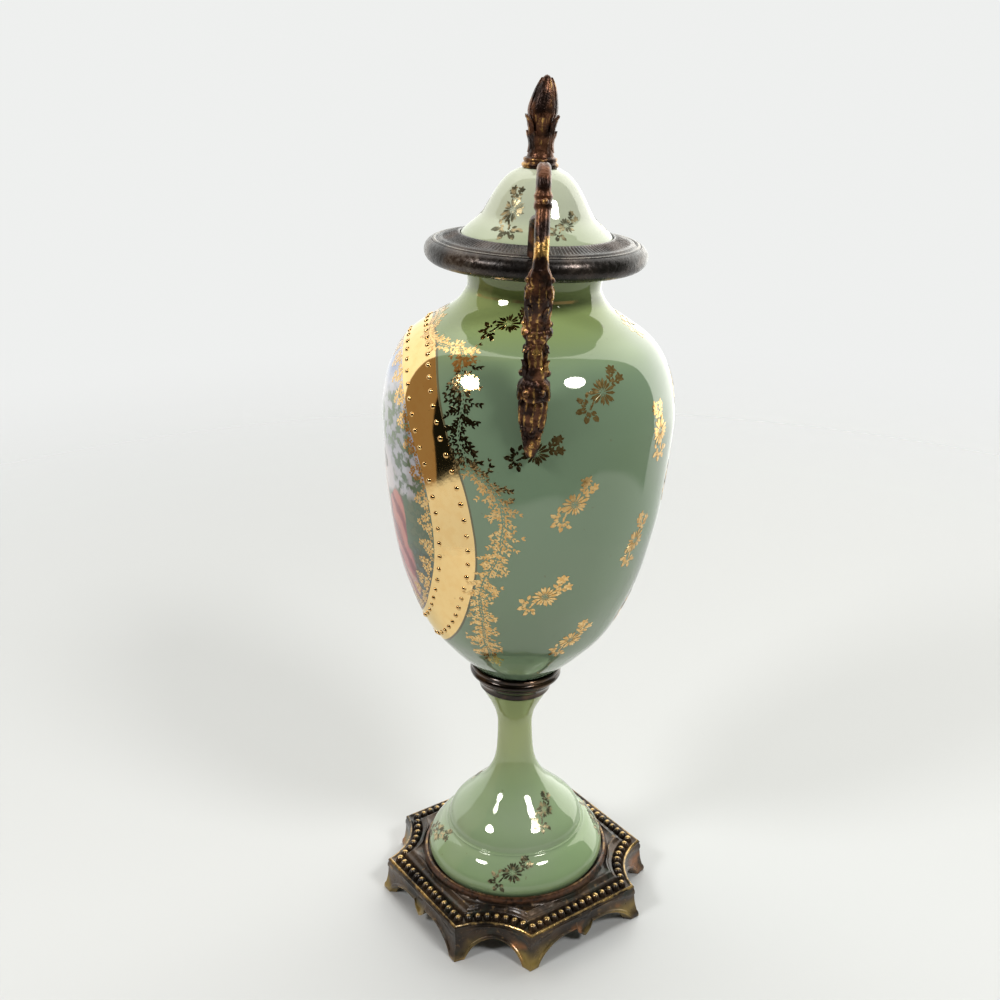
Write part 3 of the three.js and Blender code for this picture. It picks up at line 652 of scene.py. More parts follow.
def porcelain(name, light, deep, edge, span, lustre_ior):
    """Celadon lustre: a clear gloss over green that clouds from light to deep, and pales where it thins."""
    material, place = new_material(
        name, {"Roughness": 0.035, "IOR": lustre_ior, "Specular Tint": (1.0, 0.99, 0.86, 1.0)}
    )
    clouds = place.noise(14, 4)
    upwards = place.part("Z") * 1000
    share = (upwards.ramp(*span) + (clouds - 0.5) * 0.7).ramp(0.0, 1.0)
    green = share.mix(deep, light)
    thin = place.noise(9, 3, 4.2).ramp(0.5, 0.72) * 0.5
    green = thin.mix(green, edge)
    pits = place.noise(900, 2, 9.3).ramp(0.74, 0.78)
    specks = place.noise(260, 2, 1.7).ramp(0.735, 0.76) * 0.45
    return material, place, specks.mix(green, (0.2, 0.19, 0.1)), pits


celadon_foot, place, green, pits = porcelain(
    "celadon_foot", (0.39, 0.45, 0.19), (0.26, 0.37, 0.185), (0.4, 0.43, 0.36), (50, 100), 1.66
)
feed(celadon_foot, {"Base Color": green, "Normal": bump(place, 1 - pits, 0.04)})
foot = turned(
    "foot_porcelain", np.vstack([flange, foot_inside[::-1], flange[:1]]), celadon_foot, on_foot, shape=skewed
)
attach(foot, "root")
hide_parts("foot")

# Gilding is drawn on a flat sheet that keeps its angles when it is wrapped round a turned piece. Across the
# sheet is the turn from the front times the piece's widest radius, and upwards the length of the profile,
# stretched alike.
class Sheet:
    def __init__(self, line, place_all):
        self.line = line
        self.place_all = place_all
        self.widest = float(line[:, 0].max())
        self.lengths = run_lengths(line)
        middles = (line[1:, 0] + line[:-1, 0]) / 2
        self.up = np.concatenate([[0], np.cumsum(np.diff(self.lengths) * self.widest / middles)])

    def at_height(self, turn_deg, height):
        """Where the sheet has a place at a turn from the front and a height, and its stretch there."""
        share = np.interp(height, self.line[:, 1], np.arange(len(self.line)))
        return self.at_share(math.radians(turn_deg), share)

    def at_length(self, across, length):
        """The same for a place a distance across from the front's middle line, a length up the profile."""
        share = np.interp(length, self.lengths, np.arange(len(self.line)))
        radius = np.interp(share, np.arange(len(self.line)), self.line[:, 0])
        return self.at_share(across / radius, share)

    def at_share(self, turn, share):
        counts = np.arange(len(self.line))
        radius = float(np.interp(share, counts, self.line[:, 0]))
        return turn * self.widest, float(np.interp(share, counts, self.up)), self.widest / radius

    def wrap(self, piece):
        """Wraps a flat piece round the turned one. What stands on the sheet then stands on the glaze."""
        points = np.zeros(len(piece.data.vertices) * 3)
        piece.data.vertices.foreach_get("co", points)
        x, y, lift = points.reshape(-1, 3).T * 1000
        slope = np.gradient(self.line, axis=0)
        slope /= np.linalg.norm(slope, axis=1, keepdims=True)
        radius = np.interp(y, self.up, self.line[:, 0])
        lift = lift * radius / self.widest
        height = np.interp(y, self.up, self.line[:, 1]) - lift * np.interp(y, self.up, slope[:, 0])
        radius = radius + lift * np.interp(y, self.up, slope[:, 1])
        turn = x / self.widest
        placed = self.place_all(np.column_stack([radius * np.sin(turn), -radius * np.cos(turn), height]))
        piece.data.vertices.foreach_set("co", (placed / 1000).ravel())
        piece.data.update()
        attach(piece, "root")


gilding, place = new_material("gilding", {"Metallic": 1.0})
gilt_tone = place.noise(700, 3).ramp(0.35, 0.7)
feed(
    gilding,
    {
        "Base Color": gilt_tone.mix((0.66, 0.39, 0.14), (0.9, 0.64, 0.3)),
        "Roughness": 0.06 + gilt_tone * 0.1,
    },
)
thin_gilding, place = new_material("thin_gilding", {"Metallic": 0.75, "Roughness": 0.3})
gilt_tone = place.noise(330, 4, 3.3).ramp(0.45, 0.62)
feed(thin_gilding, {"Base Color": gilt_tone.mix((0.1, 0.095, 0.055), (0.5, 0.4, 0.22))})
LEAF_LIFT = 0.06


def leaf(name, length, wide, blunt=0.5):
    """A small flat leaf from its stalk at the origin along X, sunk a little into the glaze."""
    half = wide / 2
    outline = [
        (0, 0.12 * half), (length * blunt * 0.45, half * 0.75), (length * blunt, half),
        (length * 0.82, half * 0.55), (length, 0), (length * 0.82, -half * 0.55), (length * blunt, -half),
        (length * blunt * 0.45, -half * 0.75), (0, -0.12 * half),
    ]
    count = len(outline)
    points = [(x, y, LEAF_LIFT) for x, y in outline] + [(x, y, -0.12) for x, y in outline]
    faces = [tuple(range(count))[::-1], tuple(range(count, 2 * count))]
    faces += [(i, (i + 1) % count, count + (i + 1) % count, count + i) for i in range(count)]
    return object_from(name, points, faces, None, 10)


def sprig_parts():
    """A sprig's petals and leaves about its daisy's middle, as (x, y, heading in degrees, length)."""
    petals = []
    for k in range(17):
        turn = 360 * k / 17 + 5 * math.sin(7 * k)
        reach = 4.6 + 0.7 * math.cos(math.radians(2 * turn)) + 0.4 * math.sin(5 * k)
        c, s = cos_sin(turn)
        petals.append((1.5 * c, 1.5 * s, turn, reach))
    petals += [(0.5 * math.cos(k), 0.5 * math.sin(k), 57.3 * k, 1.0) for k in range(6)]
    leaves = []
    for k in range(9):
        bend = lerp(95, 300, k / 8)
        c, s = cos_sin(bend)
        leaves.append((-7.6 + 3.3 * c, -4.2 + 3.9 * s, bend + (38 if k % 2 else -30), 2.9))
        leaves.append((-7.6 + 1.6 * c, -4.2 + 1.8 * s, bend + 20, 2.3))
    leaves += [(-4.2 - 0.8 * k, -1.6 - 0.9 * k, 215, 1.8) for k in range(4)]
    for start_x, start_y, heading, count in ((5.2, 2.8, 62, 5), (5.6, 1.8, 12, 5), (7.6, 6.6, 28, 2)):
        c, s = cos_sin(heading)
        for k in range(count):
            x, y = start_x + 1.15 * k * c, start_y + 1.15 * k * s
            leaves.append((x, y, heading, 1.7))
            leaves.append((x, y, heading + (52 if k % 2 else -52), 2.5))
        x, y = start_x + 1.15 * count * c, start_y + 1.15 * count * s
        leaves += [(x, y, heading + 72 * k, 2.3) for k in range(5)]
    return petals, leaves


SPRIG_LEAF = 2.0


def sprigs(name, middles, sheet, material=gilding):
    """Sprigs at (turn from the front, height, tilt in degrees, size), wrapped on a porcelain piece."""
    shapes = (leaf("petal_leaf", SPRIG_LEAF, 0.56, 0.74), leaf("round_leaf", SPRIG_LEAF, 1.12, 0.55))
    for kind, (parts, shape) in enumerate(zip(sprig_parts(), shapes)):
        spots, turns, sizes = [], [], []
        for turn_deg, height, tilt_deg, size in middles:
            x0, y0, scale = sheet.at_height(turn_deg, height)
            c, s = cos_sin(tilt_deg)
            for x, y, heading, length in parts:
                spots.append((x0 + (x * c - y * s) * size * scale, y0 + (x * s + y * c) * size * scale, 0))
                turns.append((0, 0, math.radians(heading + tilt_deg)))
                sizes.append(size * scale * length / SPRIG_LEAF)
        kind_name = name + ("_leaves" if kind else "_petals")
        made = scatter(kind_name, spots, shape, material, turns, sizes, 0.14, 0.16, 9)
        sheet.wrap(made)


foot_sheet = Sheet(flange[4:80], on_foot)
sprigs(
    "foot_sprigs",
    [
        (129, 34.5, 20, 0.75), (88, 13.5, 5, 0.85), (13, 14, 0, 0.8), (-60, 14, 10, 0.8),
        (-135, 14, -10, 0.8), (188, 13, 0, 0.8), (-45, 35, -20, 0.7), (-110, 35, 10, 0.7),
    ],
    foot_sheet,
    thin_gilding,
)


# Collar
# A turned dark bronze cup with a round bead, a groove and a cove. It covers the joint of foot and vase, and
# the vase's bottom stands in it.
PIVOT_Z = FOOT_Z + FOOT_HEIGHT
SEAT_GAP = 0.3
COLLAR_HEIGHT = 12.7
COLLAR_BOTTOM_R = 17.3
COLLAR_CUP_DEPTH = 3.3
COLLAR_CUP_R = 16.8
COLLAR_RIM_R = 22.2


def leaning(points):
    """Places points of the upper urn, whose axis leans from the top of the foot."""
    x, y, z = np.asarray(points, dtype=float).T
    return np.column_stack(
        [x, y * math.cos(LEAN) + z * math.sin(LEAN), z * math.cos(LEAN) - y * math.sin(LEAN) + PIVOT_Z]
    )


def at_height(height):
    """Places points given from a height on the leaning axis."""
    return lambda points: leaning(points + np.array([0, 0, height]))


rim_r = COLLAR_RIM_R
cup_floor = COLLAR_HEIGHT - COLLAR_CUP_DEPTH
collar_line = smooth_line(
    [
        (COLLAR_BOTTOM_R - 0.6, 0), (COLLAR_BOTTOM_R, 0.5), (COLLAR_BOTTOM_R + 0.1, 1.6),
        (COLLAR_BOTTOM_R + 0.5, 3.2), (COLLAR_BOTTOM_R + 1.6, 4.8), (COLLAR_BOTTOM_R + 2.5, 5.7),
    ],
    16,
)
round_turns = np.radians(np.linspace(-105, 60, 16))
bead_line = np.column_stack([rim_r - 1.75 + 1.75 * np.cos(round_turns), 9.1 + 1.9 * np.sin(round_turns)])
collar_profile = np.vstack(
    [
        [(0, 0)], collar_line,
        [(COLLAR_BOTTOM_R + 2.6, 6.3), (COLLAR_BOTTOM_R + 2.2, 6.7), (COLLAR_BOTTOM_R + 2.4, 7.1)], bead_line,
        [(rim_r - 0.5, 11.1), (rim_r - 0.35, 11.8), (rim_r - 0.35, 12.3), (rim_r - 0.7, COLLAR_HEIGHT)],
        [(rim_r - 1.6, COLLAR_HEIGHT), (COLLAR_CUP_R, cup_floor), (0, cup_floor)],
    ]
)
turned_bronze, place = new_material("turned_bronze", {"Coat Weight": 0.35, "Coat Roughness": 0.08})
cloudy = place.noise(130, 4)
fine = place.noise(900, 3, 2.2)
feed(
    turned_bronze,
    {
        "Base Color": cloudy.ramp(0.42, 0.66).mix((0.022, 0.014, 0.01), (0.09, 0.05, 0.025)),
        "Metallic": 0.75 + cloudy * 0.25,
        "Roughness": 0.2 + (fine - 0.5) * 0.25,
        "Normal": bump(place, fine, 0.05),
    },
)
collar = turned("collar_turned", collar_profile, turned_bronze, at_height(SEAT_GAP), sharp_deg=32)
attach(collar, "root")
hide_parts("collar")


# Vase
# The thrown porcelain body, hollow, under the same lustre glaze. The front has a painted panel in a wide
# band of burnished gold, edged with rows of raised enamel dots, and gilt foliage is printed round it and
# over the rest.
VASE_Z = SEAT_GAP + cup_floor + SEAT_GAP
BELLY_R = 65.5
VASE_SEAT_R = 16.3
VASE_HEIGHT = 205.6
BELLY = 127.6
NECK_BELOW = 17.7
NECK_R = 29.3
MOUTH_R = 31.5
VASE_WALL = 3.5
MOUTH_BAND = 5.5
GILDING_ROOM = 0.08  # the glaze lies this far inside the solid, so that its gilding stays inside too
NECK = VASE_HEIGHT - NECK_BELOW

vase_lower = [
    (0, 0), (0.079, 0.026), (0.21, 0.0705), (0.386, 0.141), (0.563, 0.227), (0.7, 0.337), (0.815, 0.4624),
    (0.896, 0.6035), (0.953, 0.7445),
]
vase_upper = [
    (1, 0), (0.985, 0.2), (0.93, 0.367), (0.82, 0.517), (0.66, 0.64), (0.41, 0.745), (0.15, 0.85),
    (0.025, 0.95), (0, 1.03),
]
vase_line = smooth_line(
    [(lerp(VASE_SEAT_R, BELLY_R, out), BELLY * up) for out, up in vase_lower]
    + [(lerp(NECK_R, BELLY_R, out), BELLY + (NECK - BELLY) * up) for out, up in vase_upper]
    + [(MOUTH_R, VASE_HEIGHT - MOUTH_BAND), (MOUTH_R, VASE_HEIGHT)],
    190,
)
vase_line[:, 0] -= GILDING_ROOM
vase_inner = inset_line(vase_line, VASE_WALL)[::4]
vase_inner = vase_inner[(vase_inner[:, 1] > VASE_WALL + 0.5) & (vase_inner[:, 1] < NECK)]
mouth_inner_r = MOUTH_R - VASE_WALL
vase_profile = np.vstack(
    [
        [(0, 0)], vase_line, [(mouth_inner_r, VASE_HEIGHT), (mouth_inner_r, VASE_HEIGHT - MOUTH_BAND)],
        vase_inner[::-1], [(0, VASE_WALL)],
    ]
)
line_lengths = run_lengths(vase_line)

# The panel's outlines: half the width, and the reach above and below its middle, along the curve of the vase
PANEL_MIDDLE = 92
BAND_HALF, BAND_ABOVE, BAND_BELOW = 76.5, 88.5, 77
PICTURE_HALF, PICTURE_ABOVE, PICTURE_BELOW = 56, 73, 62
panel_along = VASE_SEAT_R + float(np.interp(PANEL_MIDDLE, vase_line[:, 1], line_lengths))
NECK_LINE = float(np.interp(186, vase_line[:, 1], line_lengths)) + VASE_SEAT_R - panel_along


def oval_share(across, along, half, above, below):
    """How far out a place lies in an oval, 1 on its outline, with a round upper half and a slimmer lower."""
    upper = along.ramp(-0.01, 0.01)
    power = 1.7 + upper * 0.3
    tall = below + upper * (above - below)
    return ((abs(across) / half) ** power + (abs(along) / tall) ** power) ** (1 / power)


celadon, place, green, pits = porcelain(
    "celadon_vase", (0.36, 0.46, 0.16), (0.222, 0.318, 0.2), (0.31, 0.31, 0.29), (278, 314), 1.7
)
wrap = place.node("ShaderNodeUVMap", {"uv_map": "wrap"})
across = wrap.part("X") * 100
along = wrap.part("Y") * 100 - panel_along
wobble = place.noise(160, 3, 5.5)
band_edge = oval_share(across, along, BAND_HALF, BAND_ABOVE, BAND_BELOW)
picture_edge = oval_share(across, along, PICTURE_HALF, PICTURE_ABOVE, PICTURE_BELOW)
in_band = band_edge.ramp(1.004, 1.0)
in_picture = picture_edge.ramp(1.004, 0.998)

# The picture: two resting figures in plain drapery under a tree, painted wet and soft
strokes = place.noise(45, 5, 6.6) - 0.5
strokes_up = place.noise(60, 5, 2.9) - 0.5
x = across + strokes * 14
y = along + strokes_up * 14


def oval(x, y, middle, half, turn_deg=0, soft=0.35):
    """A soft-edged oval spot of the picture, 1 inside."""
    c, s = cos_sin(turn_deg)
    u = (x - middle[0]) * (c / half[0]) + (y - middle[1]) * (s / half[0])
    v = (y - middle[1]) * (c / half[1]) - (x - middle[0]) * (s / half[1])
    return (u * u + v * v).ramp(1 + soft, 1 - soft)


sky_color = (y + strokes * 40).ramp(4, 62).mix((0.74, 0.66, 0.66), (0.3, 0.38, 0.62))
sky_color = place.noise(26, 4, 3.3).ramp(0.45, 0.62).mix(sky_color, (0.74, 0.73, 0.8))
hills = (y + x * 0.12).ramp(12, 5).mix(sky_color, (0.2, 0.26, 0.3))
hills = (y - x * 0.2).ramp(4, -2).mix(hills, (0.17, 0.22, 0.12))
ground = y.ramp(-12, -30).mix(hills, (0.12, 0.1, 0.07))
ground = (y.ramp(-34, -56) * 0.85).mix(ground, (0.22, 0.12, 0.13))
leafy = place.noise(230, 4, 8.1).ramp(0.44, 0.56)
picture = ground
for middle, half, turn_deg, color, shade in (
    ((43, 8), (14, 40), 8, (0.11, 0.17, 0.1), (0.035, 0.055, 0.04)),
    ((30, 42), (22, 13), 24, (0.16, 0.23, 0.12), (0.05, 0.08, 0.05)),
    ((40, -30), (17, 17), 0, (0.1, 0.14, 0.12), (0.03, 0.045, 0.045)),
    ((-46, -8), (13, 30), -8, (0.17, 0.24, 0.16), (0.06, 0.09, 0.06)),
    ((-34, -38), (16, 9), 0, (0.14, 0.18, 0.1), (0.05, 0.06, 0.04)),
):
    edge = oval(x, y, middle, half, turn_deg, 0.6) * (leafy * 0.75 + 0.25)
    picture = edge.mix(picture, leafy.mix(shade, color))
folds = place.noise(28, 2, 1.2) * 26
for middle, half, turn_deg, color, shade in (
    ((12, -26), (25, 18), 10, (0.62, 0.2, 0.2), (0.26, 0.05, 0.07)),
    ((26, -8), (9, 17), -24, (0.66, 0.24, 0.2), (0.3, 0.07, 0.08)),
    ((17, -37), (18, 9), 0, (0.66, 0.36, 0.3), (0.35, 0.12, 0.12)),
    ((10, -3), (9, 13), 10, (0.7, 0.62, 0.55), (0.4, 0.3, 0.28)),
    ((10, 6.5), (6.2, 5.4), 0, (0.72, 0.47, 0.36), (0.55, 0.3, 0.22)),
    ((11, 12.5), (2.6, 3.6), 0, (0.68, 0.43, 0.33), (0.5, 0.27, 0.2)),
    ((10, 17.5), (4.4, 5.4), 0, (0.73, 0.48, 0.38), (0.6, 0.34, 0.26)),
    ((12, 20.5), (5.4, 4.4), 0, (0.14, 0.075, 0.04), (0.06, 0.03, 0.02)),
    ((-19, -28), (18, 17), -12, (0.2, 0.28, 0.5), (0.06, 0.09, 0.22)),
    ((-27, -37), (14, 7), 0, (0.6, 0.54, 0.36), (0.34, 0.26, 0.14)),
    ((-16, -6), (8.2, 12.5), -10, (0.26, 0.34, 0.54), (0.1, 0.13, 0.28)),
    ((-15, 3.5), (5.6, 4.4), 0, (0.7, 0.46, 0.36), (0.52, 0.3, 0.22)),
    ((-13.5, 7.8), (2.4, 3.2), 0, (0.66, 0.43, 0.33), (0.5, 0.27, 0.2)),
    ((-12, 12.5), (4.2, 5.2), 8, (0.71, 0.47, 0.37), (0.56, 0.32, 0.24)),
    ((-14, 15.2), (5.2, 4.2), 12, (0.2, 0.11, 0.05), (0.09, 0.045, 0.025)),
    ((-2, -4), (9.5, 2.4), 24, (0.71, 0.47, 0.36), (0.54, 0.3, 0.22)),
    ((3, -8), (9, 2.2), -18, (0.71, 0.47, 0.36), (0.54, 0.3, 0.22)),
    ((-2, -12), (4.4, 3.2), 0, (0.6, 0.42, 0.16), (0.26, 0.15, 0.05)),
):
    lit = ((x * 0.9 + y * 0.5 + folds) * 0.6).sin().ramp(-1.0, 0.6)
    picture = oval(x, y, middle, half, turn_deg, 0.16).mix(picture, lit.mix(shade, color))
blooms = place.noise(150, 2, 11.2).ramp(0.64, 0.7) * y.ramp(-30, -36)
picture = blooms.mix(picture, (0.66, 0.3, 0.33))
neck_line = abs(along - NECK_LINE).ramp(0.8, 0.45) * place.noise(30, 3, 6.1).ramp(0.48, 0.56)
gold_wear = place.noise(520, 4, 2.7).ramp(0.68, 0.78) * 0.5
gold = (place.noise(240, 3, 5.1).ramp(0.4, 0.7) * 0.35).mix((0.93, 0.66, 0.3), (0.86, 0.53, 0.2))
gold = gold_wear.mix(gold, (0.42, 0.27, 0.1))
outline = band_edge.ramp(1.016, 1.01) * band_edge.ramp(0.998, 1.004)
surface_color = (outline * 0.8).mix(green, (0.13, 0.09, 0.04))
surface_color = in_band.mix(surface_color, gold)
surface_color = in_picture.mix(surface_color, picture)
surface_color = neck_line.mix(surface_color, gold)
gilt_share = place.math("MAXIMUM", in_band * (1 - in_picture), neck_line)
feed(
    celadon,
    {
        "Base Color": surface_color,
        "Metallic": gilt_share,
        "Roughness": 0.035 + gilt_share * (0.015 + gold_wear * 0.3) + in_picture * 0.05,
        "Normal": bump(place, 1 - pits * (1 - gilt_share) + gilt_share * wobble * 0.5, 0.04),
    },
)
body = turned("body_porcelain", vase_profile, celadon, at_height(VASE_Z), segments=256)
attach(body, "root")
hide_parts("body")


vase_sheet = Sheet(vase_line[1:], at_height(VASE_Z))


def on_panel(across, along):
    """Where the vase's sheet has a place of the panel, across and along the surface from its middle."""
    return vase_sheet.at_length(across, along + panel_along - VASE_SEAT_R)


# Dots: two rows of raised enamel, gilt over, just inside the band's two edges
DOT_R = 1.2
DOT_PITCH = 7.2


def oval_line(half, above, below, inset):
    """Points along an oval of the panel, a distance inside it."""
    half, above, below = half - inset, above - inset, below - inset
    points = []
    for turn in np.linspace(0, 2 * math.pi, 1200, endpoint=False):
        x, y = math.cos(turn), math.sin(turn)
        tall, power = (above, 2) if y >= 0 else (below, 1.7)
        points.append(
            (half * math.copysign(abs(x) ** (2 / power), x), tall * math.copysign(abs(y) ** (2 / power), y))
        )
    return np.array(points + points[:1])


def places_on(line, lengths, at):
    """The places on a line at some lengths from its start."""
    return np.column_stack([np.interp(at, lengths, line[:, 0]), np.interp(at, lengths, line[:, 1])])


def along_line(line, pitch):
    """Places at an even pitch along a line, with the direction of the line at each."""
    lengths = run_lengths(line)
    at = np.arange(0, lengths[-1] - pitch * 0.4, lengths[-1] / round(lengths[-1] / pitch))
    spots = places_on(line, lengths, at)
    steps = places_on(line, lengths, at + 0.5) - spots
    return spots, steps / np.maximum(np.linalg.norm(steps, axis=1, keepdims=True), 1e-6)


band_sizes = (BAND_HALF, BAND_ABOVE, BAND_BELOW)
picture_sizes = (PICTURE_HALF, PICTURE_ABOVE, PICTURE_BELOW)
dot_spots, dot_sizes = [], []
for outline_sizes, inset in ((band_sizes, 3.2), (picture_sizes, -3)):
    for across_place, along_place in along_line(oval_line(*outline_sizes, inset), DOT_PITCH)[0]:
        x, y, scale = on_panel(across_place, along_place)
        dot_spots.append((x, y, 0))
        dot_sizes.append(scale)
dots = scatter("band_dots", dot_spots, dome("dot", DOT_R, 0.7, 4, 12), gilding, None, dot_sizes, 0.08, seed=8)
vase_sheet.wrap(dots)

# Garland: a winding line of twigs outside the band, at (turn from the front, height), the same on both sides
garland_stations = [
    (0, 175), (12, 174), (23, 170.5), (35, 168.5), (45, 168), (53, 168.5), (58.5, 165), (61.5, 156.9),
    (63.7, 151.6), (63.5, 143.6), (63.8, 135.3), (66.4, 129.6), (68.4, 123.5), (76, 117), (80.5, 108),
    (81.5, 97), (79, 84), (74.2, 72.5), (71.5, 61.5), (72.1, 50.3), (71.7, 38), (73.3, 30.4), (73, 23),
]
garland_places = [vase_sheet.at_height(turn_deg, height)[:2] for turn_deg, height in garland_stations]
garland_line = smooth_line(garland_places, 400)
rng = np.random.default_rng(21)
leaf_spots, leaf_turns, leaf_sizes = [], [], []
spots, steps = along_line(garland_line, 1.9)
for i, (spot, step) in enumerate(zip(spots, steps)):
    share = i / len(spots)
    scale = vase_sheet.widest / float(np.interp(spot[1], vase_sheet.up, vase_sheet.line[:, 0]))
    thin = 0.6 if share < 0.24 else 1.25
    coarse = 1.3 - 0.45 * share
    heading = math.atan2(step[1], step[0])
    leaf_spots.append((*spot, 0))
    leaf_turns.append((0, 0, heading))
    leaf_sizes.append(scale * 0.6)
    for side in (-1, 1):
        twig = heading + side * (0.75 + 0.5 * rng.random())
        count = int(thin * (1.2 + 4.4 * rng.random()) / coarse)
        for k in range(count):
            out = (0.9 + 1.4 * coarse * k) * scale
            twig += 0.16 * rng.normal()
            at = spot + out * np.array([math.cos(twig), math.sin(twig)])
            for turn in (twig + 0.7 * (1 if k % 2 else -1), twig - 0.3 * (1 if k % 2 else -1)):
                leaf_spots.append((*at, 0))
                leaf_turns.append((0, 0, turn))
                leaf_sizes.append(scale * coarse * (0.7 + 0.45 * rng.random()))
leaf_spots += [(-x, y, z) for x, y, z in leaf_spots]
leaf_turns += [(0, 0, math.pi - turn) for x, y, turn in leaf_turns]
leaf_sizes += leaf_sizes
garland = scatter(
    "garland", leaf_spots, leaf("garland_leaf", 1.9, 0.85), gilding, leaf_turns, leaf_sizes, 0.15, 0.2, 5
)
vase_sheet.wrap(garland)

# Florets in clusters on the inner edge of the band, over the picture
lace_spots, lace_turns, lace_sizes = [], [], []
spots, steps = along_line(oval_line(*picture_sizes, 1.2), 11.8)
for spot, step in zip(spots, steps):
    inward = np.array([-step[1], step[0]])
    for along_floret, into, reach in (
        (0, 0.4, 1.7), (-2.9, 1.0, 1.6), (2.9, 1.2, 1.6), (-1.6, 3.7, 1.6), (1.9, 4.1, 1.7),
        (0.2, 6.6, 1.4), (5.9, 0.2, 1.0),
    ):
        middle = spot + step * (along_floret + rng.normal() * 0.3) + inward * (into + rng.normal() * 0.3)
        for k in range(6):
            turn = 2 * math.pi * k / 6 + 0.4 * rng.random()
            x, y, scale = on_panel(*(middle + 0.3 * np.array([math.cos(turn), math.sin(turn)])))
            lace_spots.append((x, y, 0))
            lace_turns.append((0, 0, turn))
            lace_sizes.append(scale * reach / 2)
lace_leaf = leaf("lace_leaf", 2, 1.3, 0.6)
lace = scatter("panel_lace", lace_spots, lace_leaf, gilding, lace_turns, lace_sizes, 0.15, 0.2, 6)
vase_sheet.wrap(lace)

vase_sprigs = [
    (72.7, 178, 10, 0.85), (117.9, 156, 12, 1), (92, 133, -8, 0.9), (107.6, 110, 25, 0.95),
    (99.6, 65.6, 10, 0.95), (117.7, 38.1, 28, 0.9), (141.1, 85.9, 45, 0.95), (148, 135, 70, 1),
]
vase_sprigs += [(-turn - 4, height - 5, tilt + 12, size) for turn, height, tilt, size in vase_sprigs]
for turn, height, tilt in ((180, 150, 10), (172, 108, 40), (-168, 70, -15), (166, 46, 20), (180, 175, 0)):
    vase_sprigs.append((turn, height, tilt, 0.95))
sprigs("vase_sprigs", vase_sprigs, vase_sheet)


# Ring on the mouth
# A turned bronze ring, its outer roll worn grey. A finely fluted flange slopes up to the lid, and a ledge
# inside it rests on the vase's rim. Its underside is hollow round the neck.
RIM_Z = VASE_Z + VASE_HEIGHT
RING_R = 48.1
RING_ROLL = 5
ROLL_Z = -3.5
RING_BELOW = 7.2
RING_RIDGE_R = 43.35
RING_INNER_R = 32.9
RING_RISE = 4.4
RING_LEDGE = 1.1
RING_BORE_R = MOUTH_R + 0.35
FLUTES = 150

roll_middle = RING_R - RING_ROLL
roll_turns = np.radians(np.linspace(-100, 66, 34))
roll = [(roll_middle + RING_ROLL * math.cos(t), ROLL_Z + RING_ROLL * math.sin(t), 0.45) for t in roll_turns]
ring_rows = [
    (RING_RIDGE_R + 1.5, 0.85, 0.1), (RING_RIDGE_R + 1.2, 1.35, 0.6), (RING_RIDGE_R + 0.6, 1.6, 1),
    (RING_RIDGE_R, 1.5, 0.6), (RING_RIDGE_R - 0.3, 1.1, 0), (RING_RIDGE_R - 0.9, 1.25, 0),
    (RING_RIDGE_R - 1.3, 1.9, 0.5), (RING_RIDGE_R - 2, 2.2, 0.6), (RING_RIDGE_R - 2.6, 2.05, 0.1),
]
flute_rows = [
    (lerp(RING_RIDGE_R - 3, RING_INNER_R + 0.9, t), lerp(2.25, RING_RISE - 0.1, t), 0.35)
    for t in np.linspace(0, 1, 9)
]
ring_end = [
    (RING_INNER_R + 0.45, RING_RISE, 0.6), (RING_INNER_R, RING_RISE - 0.35, 0.3),
    (RING_INNER_R, SEAT_GAP + RING_LEDGE, 0), (mouth_inner_r, SEAT_GAP + RING_LEDGE, 0),
    (mouth_inner_r, SEAT_GAP, 0), (RING_BORE_R, SEAT_GAP, 0), (RING_BORE_R, -RING_BELOW, 0),
]
ring_all = np.array([(RING_BORE_R, -RING_BELOW, 0)] + roll + ring_rows + flute_rows + ring_end)


def fluted(around, radius, height):
    """Fine radial flutes on the sloping flange, cut a little unevenly."""
    on_flange = smoothstep(radius, RING_INNER_R + 0.8, RING_INNER_R + 1.6) * (height > 1.8)
    on_flange = on_flange * smoothstep(-radius, 3.2 - RING_RIDGE_R, 4 - RING_RIDGE_R)
    cut = np.abs(np.sin(around * FLUTES / 2 + 0.35 * np.sin(around * 7)))
    return radius, height - 0.55 * on_flange * (1 - cut) * (0.8 + 0.2 * np.sin(around * 11))


ring_bronze, place = new_material("ring_bronze", {"Coat Weight": 0.1, "Coat Roughness": 0.25})
worn = place.node("ShaderNodeAttribute", {"attribute_name": "worn"}, output="Fac")
blotch = place.noise(75, 5)
grain = place.noise(650, 4, 2.4)
grey_share = (worn * 0.9 + blotch * 1.1 + (grain - 0.5) * 0.9 - 0.95).ramp(0, 0.75)
ring_color = blotch.ramp(0.4, 0.62).mix((0.02, 0.016, 0.014), (0.06, 0.043, 0.035))
feed(
    ring_bronze,
    {
        "Base Color": grey_share.mix(ring_color, (0.27, 0.24, 0.2)),
        "Metallic": 0.7 + grey_share * 0.2,
        "Roughness": 0.3 + (grain - 0.5) * 0.6,
        "Normal": bump(place, grain * 0.7 + place.noise(210, 3) * 0.5, 0.24),
    },
)
rim_ring = turned(
    "rim_ring_turned", ring_all[:, :2], ring_bronze, at_height(RIM_Z), segments=FLUTES * 6, sharp_deg=50,
    shape=fluted, worn=ring_all[:, 2],
)
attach(rim_ring, "root")
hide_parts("rim_ring")


